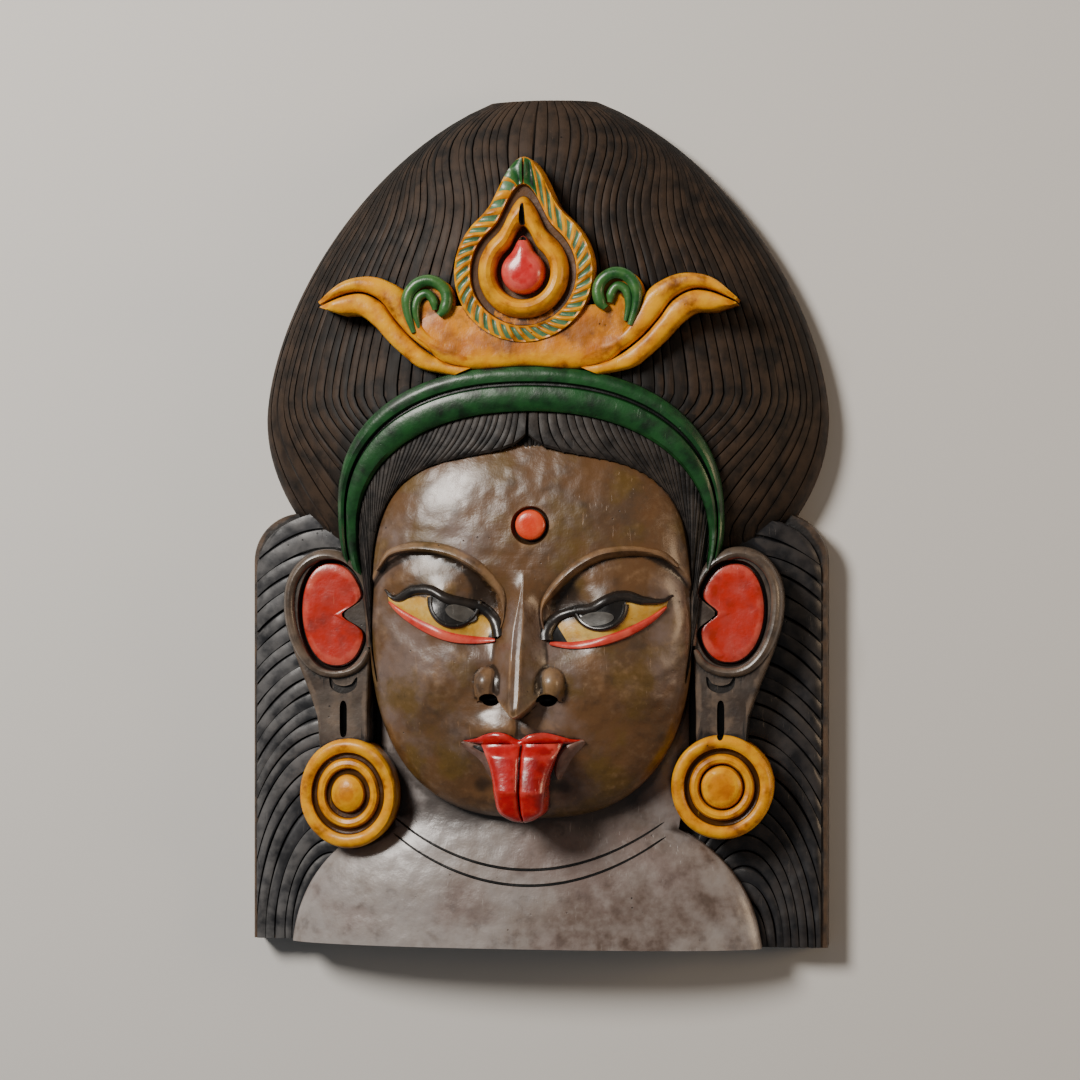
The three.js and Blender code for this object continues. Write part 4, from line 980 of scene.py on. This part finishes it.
def ear(side):
    shift_x, shift_y = EAR_SHIFT[side]
    slot_half, slot_top, slot_foot = LOBE_SLOT

    def placed(points):
        return [(side * x + shift_x, y + shift_y) for x, y in points]

    def ear_edge(turn):
        line = along(EAR_OUTLINE, np.linspace(0, 1, 400))
        angles = np.unwrap(np.arctan2(line[:, 1] - EAR_MIDDLE[1], line[:, 0] - EAR_MIDDLE[0]))
        far = np.hypot(line[:, 0] - EAR_MIDDLE[0], line[:, 1] - EAR_MIDDLE[1])
        order = np.argsort(angles % (2 * pi))
        radius = np.interp(turn % (2 * pi), (angles % (2 * pi))[order], far[order], period=2 * pi)
        return side * radius * np.cos(turn), radius * np.sin(turn)

    def kidney(grow):
        def edge(turn):
            notch = (EAR_NOTCH[side] + grow * 0.4) * np.exp(-(((turn % (2 * pi) - pi) / 0.22) ** 2))
            c, s = np.cos(turn), np.sin(turn)
            across = (EAR_PAD_HALF_WIDTH - notch + grow) * np.sign(c) * np.abs(c) ** 0.88
            return side * (across + 2 * s), (EAR_PAD_HALF_HEIGHT[side] + grow) * s
        return edge

    middle, pad_middle, slot_middle = ((x, y, 0) for x, y in placed([
        EAR_MIDDLE, (EAR_PAD_X, EAR_PAD_Y), (LOBE_X, (slot_top + slot_foot) / 2)]))
    floor = EAR_LEVEL - EAR_HOLLOW_DEPTH
    pad_top = floor + EAR_PAD_RISE
    turned([(0, BEHIND), (1, BEHIND), (1, EAR_LEVEL - 6), (0.99, EAR_LEVEL - 2.5), (0.97, EAR_LEVEL - 0.6),
            (0.94, EAR_LEVEL), (0.6, EAR_LEVEL), (0, EAR_LEVEL)], 90, ear_paint, middle, ear_edge, scale=60)
    strip(placed(EAR_RIM), tapered(9.5, 6, 4, 0.3), RIM_SECTION, ear_paint, 90, ear_top)
    turned([(0, floor), (0.93, floor), (0.97, floor + 1.5), (1.04, EAR_LEVEL + 9), (0, EAR_LEVEL + 9)],
           90, ear_paint, pad_middle, kidney(EAR_PAD_GAP), cuts)
    pad_rings = [(share, pad_top + 0.1 - 0.8 * (1 - share / 0.9) ** 2) for share in (0.86, 0.6, 0.3, 0)]
    turned([(0, BEHIND), (0.98, BEHIND), (1, pad_top - 2.2), (0.975, pad_top - 0.6), (0.93, pad_top - 0.05),
            *pad_rings], 90, pad_paint, pad_middle, kidney(0), inlays, scale=30)

    def slot_edge(turn):
        up = np.sign(np.sin(turn)) * np.abs(np.sin(turn)) ** 0.35
        return slot_half * np.cos(turn), (slot_top - slot_foot) / 2 * up

    turned([(0, EAR_LEVEL - 9), (0.8, EAR_LEVEL - 9), (1.1, EAR_LEVEL + 9), (0, EAR_LEVEL + 9)],
           32, line_paint, slot_middle, slot_edge, cuts)
    strip(placed(CRESCENT), tapered(5.5, 0.8, 0.8, 0.8), (8, 8), ear_paint, 24, ear_top, cuts,
          EAR_LEVEL - CRESCENT_DEPTH)


ear(-1)
ear(1)

# The earrings are round shields that hang from the lobes: an outer roll, a ring and a boss,
# turned by eye with the gouge. They are painted ochre gold, with dark grime and painted shade in the grooves.
EARRINGS = {
    -1: {"x": -132.5, "y": -195.5, "across": 36.5, "up": 39.5, "tilt": -0.12, "boss": 12.5, "dome": 2.6},
    1: {"x": 137, "y": -188, "across": 36, "up": 37, "tilt": 0.08, "boss": 14.5, "dome": 1.2},
}
EARRING_LEVEL = 62
EARRING_SECTION = [(1, -8), (1, -4.5), (0.985, -2), (0.945, -0.3), (0.88, 0.5), (0.81, 0.1),
                   (0.755, -1.4), (0.73, -4.4), (0.7, -5), (0.655, -4.8), (0.625, -3), (0.6, -0.9),
                   (0.54, -0.1), (0.48, -0.9), (0.455, -3), (0.44, -5)]
gold_paint = painted("ochre_gold_paint", (216, 136, 0), (182, 100, 0), (50, 26, 2), (244, 180, 16),
                     tinges=[(146, 82, 0)], roughness=0.36, patches=18, wear_and_sheen=0.7, stain=0.6, coat=0.1,
                     dents=5.0, shine=0.3, hollow_grime_and_shade=0.95)


def earring(x, y, across, up, tilt, boss, dome):
    boss_share = boss / across
    foot = BEHIND - EARRING_LEVEL
    profile = [(0, foot), (0.96, foot), *EARRING_SECTION, (boss_share + 0.03, -5.2), (boss_share, -3.5),
               (boss_share - 0.02, -1), (boss_share - 0.08, 0.6), (boss_share * 0.5, dome * 0.8), (0, dome)]
    wobble = carver.uniform(0, 2 * pi)

    def edge(turn):
        return across * np.cos(turn) * (1 + 0.008 * np.sin(3 * turn + wobble)), up * np.sin(turn)

    turned(profile, 72, gold_paint, (x, y, EARRING_LEVEL), edge, tilt=tilt, scale=across)


for values in EARRINGS.values():
    earring(**values)

# The crown ornament is a gold drop with a red bead in a ring, its edge wound with green
# notches, on a spray of long leaves with two green scrolls. It is carved in high relief
# from the dome's own wood.
CROWN_LEVEL = 86
DROP = (-1.2, 176)
DROP_RADIUS = 50
DROP_TIP = 82
DROP_EDGE = 86
DROP_FLOOR = 82
DROP_RING_LEVEL = 93
NOTCHES = 34
NOTCH_SECTION = np.array([0.0, -1.0, -1.5, -1.5, -1.0, 0.0])  # one notch, at even steps along the rope
bead_paint = painted("red_bead_paint", (202, 22, 24), (214, 52, 50), (56, 6, 6), (240, 128, 112),
                     roughness=0.3, patches=12, coat=0.6)
scroll_paint = painted("green_scroll_paint", (14, 74, 28), (22, 90, 36), (8, 10, 6), (90, 130, 66),
                       roughness=0.35, patches=12, stain=0.45)
notch_paint = painted("pale_green_notch_paint", (92, 132, 92), (46, 96, 56), (10, 14, 8), (150, 170, 110),
                      roughness=0.4, patches=9, stain=0.5, hollow_grime_and_shade=0.4)
# The recess between the ring and the rope is painted a dull dark gold, as painted shade in that recess.
shaded_recess_paint = painted("dull_gold_recess_paint_darkened_as_shade", (126, 78, 18), (92, 54, 12), (34, 18, 4), (190, 130, 40),
                       roughness=0.5, patches=14, stain=0.4, hollow_grime_and_shade=0.55, coat=0.05)


def drop_edge(turn):
    high = np.maximum(np.sin(turn), 0)
    drawn = 1 + (DROP_TIP / DROP_RADIUS - 1) * high**9
    pinch = 1 - 0.1 * np.exp(-(((high - 0.86) / 0.12) ** 2))
    return DROP_RADIUS * pinch * np.cos(turn), DROP_RADIUS * drawn * np.sin(turn)


def drop_finish(radius, level):
    return np.where((radius < 0.8) & (level < DROP_FLOOR + 1.5), shaded_recess_paint, gold_paint)


turned([(0, BEHIND), (1.05, BEHIND), (1.02, 40), (1.0, DROP_EDGE - 5), (0.99, DROP_EDGE - 2),
        (0.97, DROP_EDGE - 1), (0.76, DROP_EDGE - 1), (0.74, DROP_FLOOR), (0.66, DROP_FLOOR - 0.5),
        (0.645, 84.5), (0.62, 88.5), (0.57, 91.8), (0.51, DROP_RING_LEVEL), (0.45, 91.8), (0.405, 88.5),
        (0.385, 84), (0.375, DROP_FLOOR - 3), (0.2, DROP_FLOOR - 3), (0, DROP_FLOOR - 3)],
       120, drop_finish, (*DROP, 0), drop_edge, scale=DROP_RADIUS)
rod([(DROP[0], DROP[1] + up, DROP_RING_LEVEL) for up in (22, 40, 58)], lambda share: 0.5 + 3.2 * (1 - share),
    line_paint, 24, 8, cuts, flat=2)
turned([(0, DROP_FLOOR - 8), (0.31, DROP_FLOOR - 8), (0.315, 84), (0.3, 88), (0.26, 91.2), (0.2, 93.2),
        (0.1, 94.4), (0, 94.8)], 60, bead_paint, (*DROP, 0), drop_edge, scale=DROP_RADIUS)


def rope_point(u, v):
    turn = pi / 2 + 2 * pi * lerp(0.003, 0.997, u)
    slant = 1.2 * 2 * pi / NOTCHES * (v - 0.5) * smooth(u, 0, 0.04) * smooth(1 - u, 0, 0.04)
    share = lerp(0.765, 0.985, v)
    edge_x, edge_y = drop_edge(turn + slant)
    column = np.rint(u * NOTCHES * len(NOTCH_SECTION)).astype(int) % len(NOTCH_SECTION)
    notch = NOTCH_SECTION[column] * (np.abs(v - 0.5) < 0.4)
    level = DROP_EDGE - 0.3 + 1.6 * np.sin(pi * v) ** 0.6
    return DROP[0] + share * edge_x, DROP[1] + share * edge_y, level + notch


def rope_finish(u, v):
    steps = len(NOTCH_SECTION)
    notched = (np.abs((u * NOTCHES * steps) % steps - 2.5) < 1.9) & (np.abs(v - 0.5) < 0.33)
    return np.where(np.abs(u - 0.5) > 0.47, scroll_paint, np.where(notched, notch_paint, gold_paint))


relief(NOTCHES * len(NOTCH_SECTION), 8, rope_point, rope_finish)


def leaf(lower, upper, level, section, steps, rows):
    """A gold leaf between two lines. section is pairs of a share of its width and its height there."""
    shares, rises = np.array(section, float).T

    def point(u, v):
        share = lerp(v, 0.5 - 0.5 * np.cos(pi * v), 0.5)
        rise = np.interp(share, shares, rises)
        x, y = between(along(lower, u), along(upper, u), share)
        return x, y, level + np.minimum(rise, lerp(9, -3, smooth(u, 0.8, 1)))

    relief(steps, rows, point, gold_paint)


LEAF_SECTION = [(0, -5), (0.05, -1.5), (0.14, 0.2), (0.32, 1.1), (0.5, 1.3), (0.7, 1.0), (0.86, 0.1),
                (0.95, -1.5), (1, -5)]
BOAT_SECTION = [(0, -5), (0.03, -1.2), (0.1, 0.9), (0.2, 1.7), (0.32, 1.5), (0.55, 0.2), (0.8, -1.2),
                (1, -2.2)]
WING_LOWER = [(52, 103.5), (75, 108.5), (87, 117), (99, 128), (109, 139), (120, 147), (134, 148), (149, 153)]
WING_GROOVE = [(38, 110), (62, 116), (81, 129), (94, 143), (104, 156), (117, 163), (131, 162), (148.5, 154.5)]
WING_UPPER = [(52, 126), (71, 136), (79, 149), (88, 164), (104, 173), (119, 174.5), (134, 170), (149.5, 157)]
WING_GAP = 0.7  # half the width of the dark line between a wing's two leaves
for side in (-1, 1):
    lower, below, above, upper = ([(side * x, y + lift) for x, y in line] for line, lift in (
        (WING_LOWER, 0), (WING_GROOVE, -WING_GAP), (WING_GROOVE, WING_GAP), (WING_UPPER, 0)))
    leaf(lower, below, CROWN_LEVEL - 4, LEAF_SECTION, 60, 12)
    leaf(above, upper, CROWN_LEVEL - 2, LEAF_SECTION, 60, 12)
leaf([(-76, 128), (-58, 112), (-34, 107.5), (0, 109.5), (34, 107.5), (58, 112), (76, 128)],
     [(-80, 140), (-58, 152), (-34, 152), (0, 152), (34, 152), (58, 152), (80, 140)],
     CROWN_LEVEL - 2.5, BOAT_SECTION, 100, 24)
SCROLL_OUTER = [(-79.5, 134), (-84, 148), (-84, 160), (-77.1, 168.7), (-67.3, 170.7), (-58.5, 165.7),
                (-55.6, 157.9), (-57.6, 150.1), (-61.5, 146)]
SCROLL_INNER = [(-76.2, 137), (-78.7, 150.1), (-76.2, 158.9), (-70.3, 161.5), (-65.8, 157), (-64.5, 150)]
HUBS = {-1: (-69, 156, 0), 1: (66, 160, 0)}  # the gold rounds under the scrolls
HUB_RADIUS = 18


def scroll(side, route, radius, level):
    ribs = [(x if side < 0 else -x * 0.95 - 1, y if side < 0 else y + 4, level) for x, y in route]

    def size(share):
        return radius * np.minimum(0.45 + 2.5 * share, 1) * (1 - 0.4 * smooth(share, 0.85, 1))

    rod(ribs, size, scroll_paint, 36, 12, flat=0.9)


for side, hub in HUBS.items():
    scroll(side, SCROLL_OUTER, 4.2, 85)
    scroll(side, SCROLL_INNER, 3.2, 84)
    turned([(0, BEHIND), (1, BEHIND), (1, 78), (0.9, 81), (0, 82)], 40, gold_paint, hub,
           lambda turn: (HUB_RADIUS * np.cos(turn), HUB_RADIUS * np.sin(turn)))

# All the forms are one piece of wood. They are joined, the grooves and hollows are cut, and
# the tongue, the dot and the ear pads are put in them. The back is planed flat, bare wood.
BACK_WIDTH = 800
BACK_DEPTH = 100
EVEN_ROUNDS = 14
SHARP_ANGLE = radians(32)
bare_wood = painted("bare_back_wood", (118, 88, 58), (96, 70, 46), (50, 36, 24), (140, 108, 74),
                    roughness=0.7, patches=50, wear_and_sheen=0.3, grain=(1, 14, 1), coat=0.0)
back = bmesh.new()
bmesh.ops.create_cube(back, size=1)
plane_off = bpy.data.collections.new("plane_off")
settle(back, lambda x, y, z: (x * BACK_WIDTH, y * BACK_WIDTH, (z - 0.5) * BACK_DEPTH), bare_wood, plane_off)
groups = (raised, cuts, inlays, plane_off)
for group in groups:
    for form in group.objects:
        for material in finishes:
            form.data.materials.append(material)
base = raised.objects[0]
bpy.context.scene.collection.objects.link(base)
raised.objects.unlink(base)
for operation, group in zip(("UNION", "DIFFERENCE", "UNION", "DIFFERENCE"), groups):
    step = base.modifiers.new(operation.lower(), "BOOLEAN")
    step.operation = operation
    step.solver = "MANIFOLD"
    step.operand_type = "COLLECTION"
    step.collection = group
shaped = bpy.data.meshes.new_from_object(base.evaluated_get(bpy.context.evaluated_depsgraph_get()))
for group in groups:
    for form in list(group.objects):
        bpy.data.objects.remove(form)
    bpy.data.collections.remove(group)
bpy.data.objects.remove(base)


def sunk(mesh):
    """How many millimetres each point lies below the smooth form that the carving is cut into."""
    count = len(mesh.vertices)
    ends = np.empty(len(mesh.edges) * 2, np.int64)
    mesh.edges.foreach_get("vertices", ends)
    first, second = ends.reshape(-1, 2).T
    points = np.empty(count * 3)
    mesh.vertices.foreach_get("co", points)
    points = points.reshape(-1, 3)
    weight = 1 / np.maximum(np.linalg.norm(points[first] - points[second], axis=1), 2e-4)
    total = np.bincount(first, weight, count) + np.bincount(second, weight, count)
    now = points.copy()
    for _ in range(EVEN_ROUNDS):
        for axis in range(3):
            near = now[:, axis].copy()
            summed = np.bincount(first, weight * near[second], count)
            summed += np.bincount(second, weight * near[first], count)
            now[:, axis] = lerp(near, summed / np.maximum(total, 1e-9), 0.7)
    normals = np.empty(count * 3)
    mesh.vertices.foreach_get("normal", normals)
    return np.einsum("ij,ij->i", now - points, normals.reshape(-1, 3)) / MM


# How sunk each point is: the paints darken the sunk points, as grime and as painted shade, and lighten the
# ridges.
hollow = shaped.attributes.new("hollow", "FLOAT", "POINT")
hollow.data.foreach_set("value", np.clip(sunk(shaped), -1, 1).astype(np.float32))
shaped.shade_smooth()
shaped.set_sharp_from_angle(angle=SHARP_ANGLE)
mask = bpy.data.objects.new("carved_goddess_mask", shaped)
bpy.context.scene.collection.objects.link(mask)
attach(mask, "root")
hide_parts("kali_mask")

# The mask lies on a plain pale floor. A window to its upper left and a weak warm lamp on its
# right light it, and the camera looks down on it from a little to its right.
VIEW_FROM = radians(8)
VIEW_DISTANCE = 2.2
VIEW_WIDTH = 0.7754
VIEW_TARGET = (0.0052, -0.013, 0.045)
floor_finish = Finish("pale_floor")
floor_finish.close(**{"Base Color": paint(214, 212, 208), "Roughness": 0.85})
floor_maker = bmesh.new()
bmesh.ops.create_grid(floor_maker, x_segments=1, y_segments=1, size=6)
floor_mesh = bpy.data.meshes.new("floor")
floor_maker.to_mesh(floor_mesh)
floor_maker.free()
floor_mesh.materials.append(floor_finish.material)
floor = bpy.data.objects.new("floor", floor_mesh)
bpy.context.scene.collection.objects.link(floor)


def lamp(name, place, size, watts, colour):
    light = bpy.data.lights.new(name, "AREA")
    light.shape = "DISK"
    light.size = size
    light.energy = watts
    light.color = colour
    holder = bpy.data.objects.new(name, light)
    holder.location = place
    holder.rotation_euler = (-holder.location).to_track_quat("-Z", "Y").to_euler()
    bpy.context.scene.collection.objects.link(holder)


lamp("window", (-1.2, 1.1, 1.9), 0.8, 78, (1.0, 0.95, 0.89))
lamp("warm_lamp", (2.0, 0.1, 0.8), 0.7, 12, (1.0, 0.72, 0.46))
world = bpy.data.worlds.new("studio")
world.use_nodes = True
world.node_tree.nodes["Background"].inputs["Color"].default_value = (0.75, 0.77, 0.8, 1)
world.node_tree.nodes["Background"].inputs["Strength"].default_value = 0.13
bpy.context.scene.world = world
camera = bpy.data.cameras.new("camera")
camera.angle = 2 * np.arctan(VIEW_WIDTH / 2 / VIEW_DISTANCE)
viewer = bpy.data.objects.new("camera", camera)
viewer.location = (VIEW_TARGET[0] + VIEW_DISTANCE * sin(VIEW_FROM), VIEW_TARGET[1],
                   VIEW_TARGET[2] + VIEW_DISTANCE * cos(VIEW_FROM))
viewer.rotation_euler = (0, VIEW_FROM, 0)
bpy.context.scene.collection.objects.link(viewer)
bpy.context.scene.camera = viewer
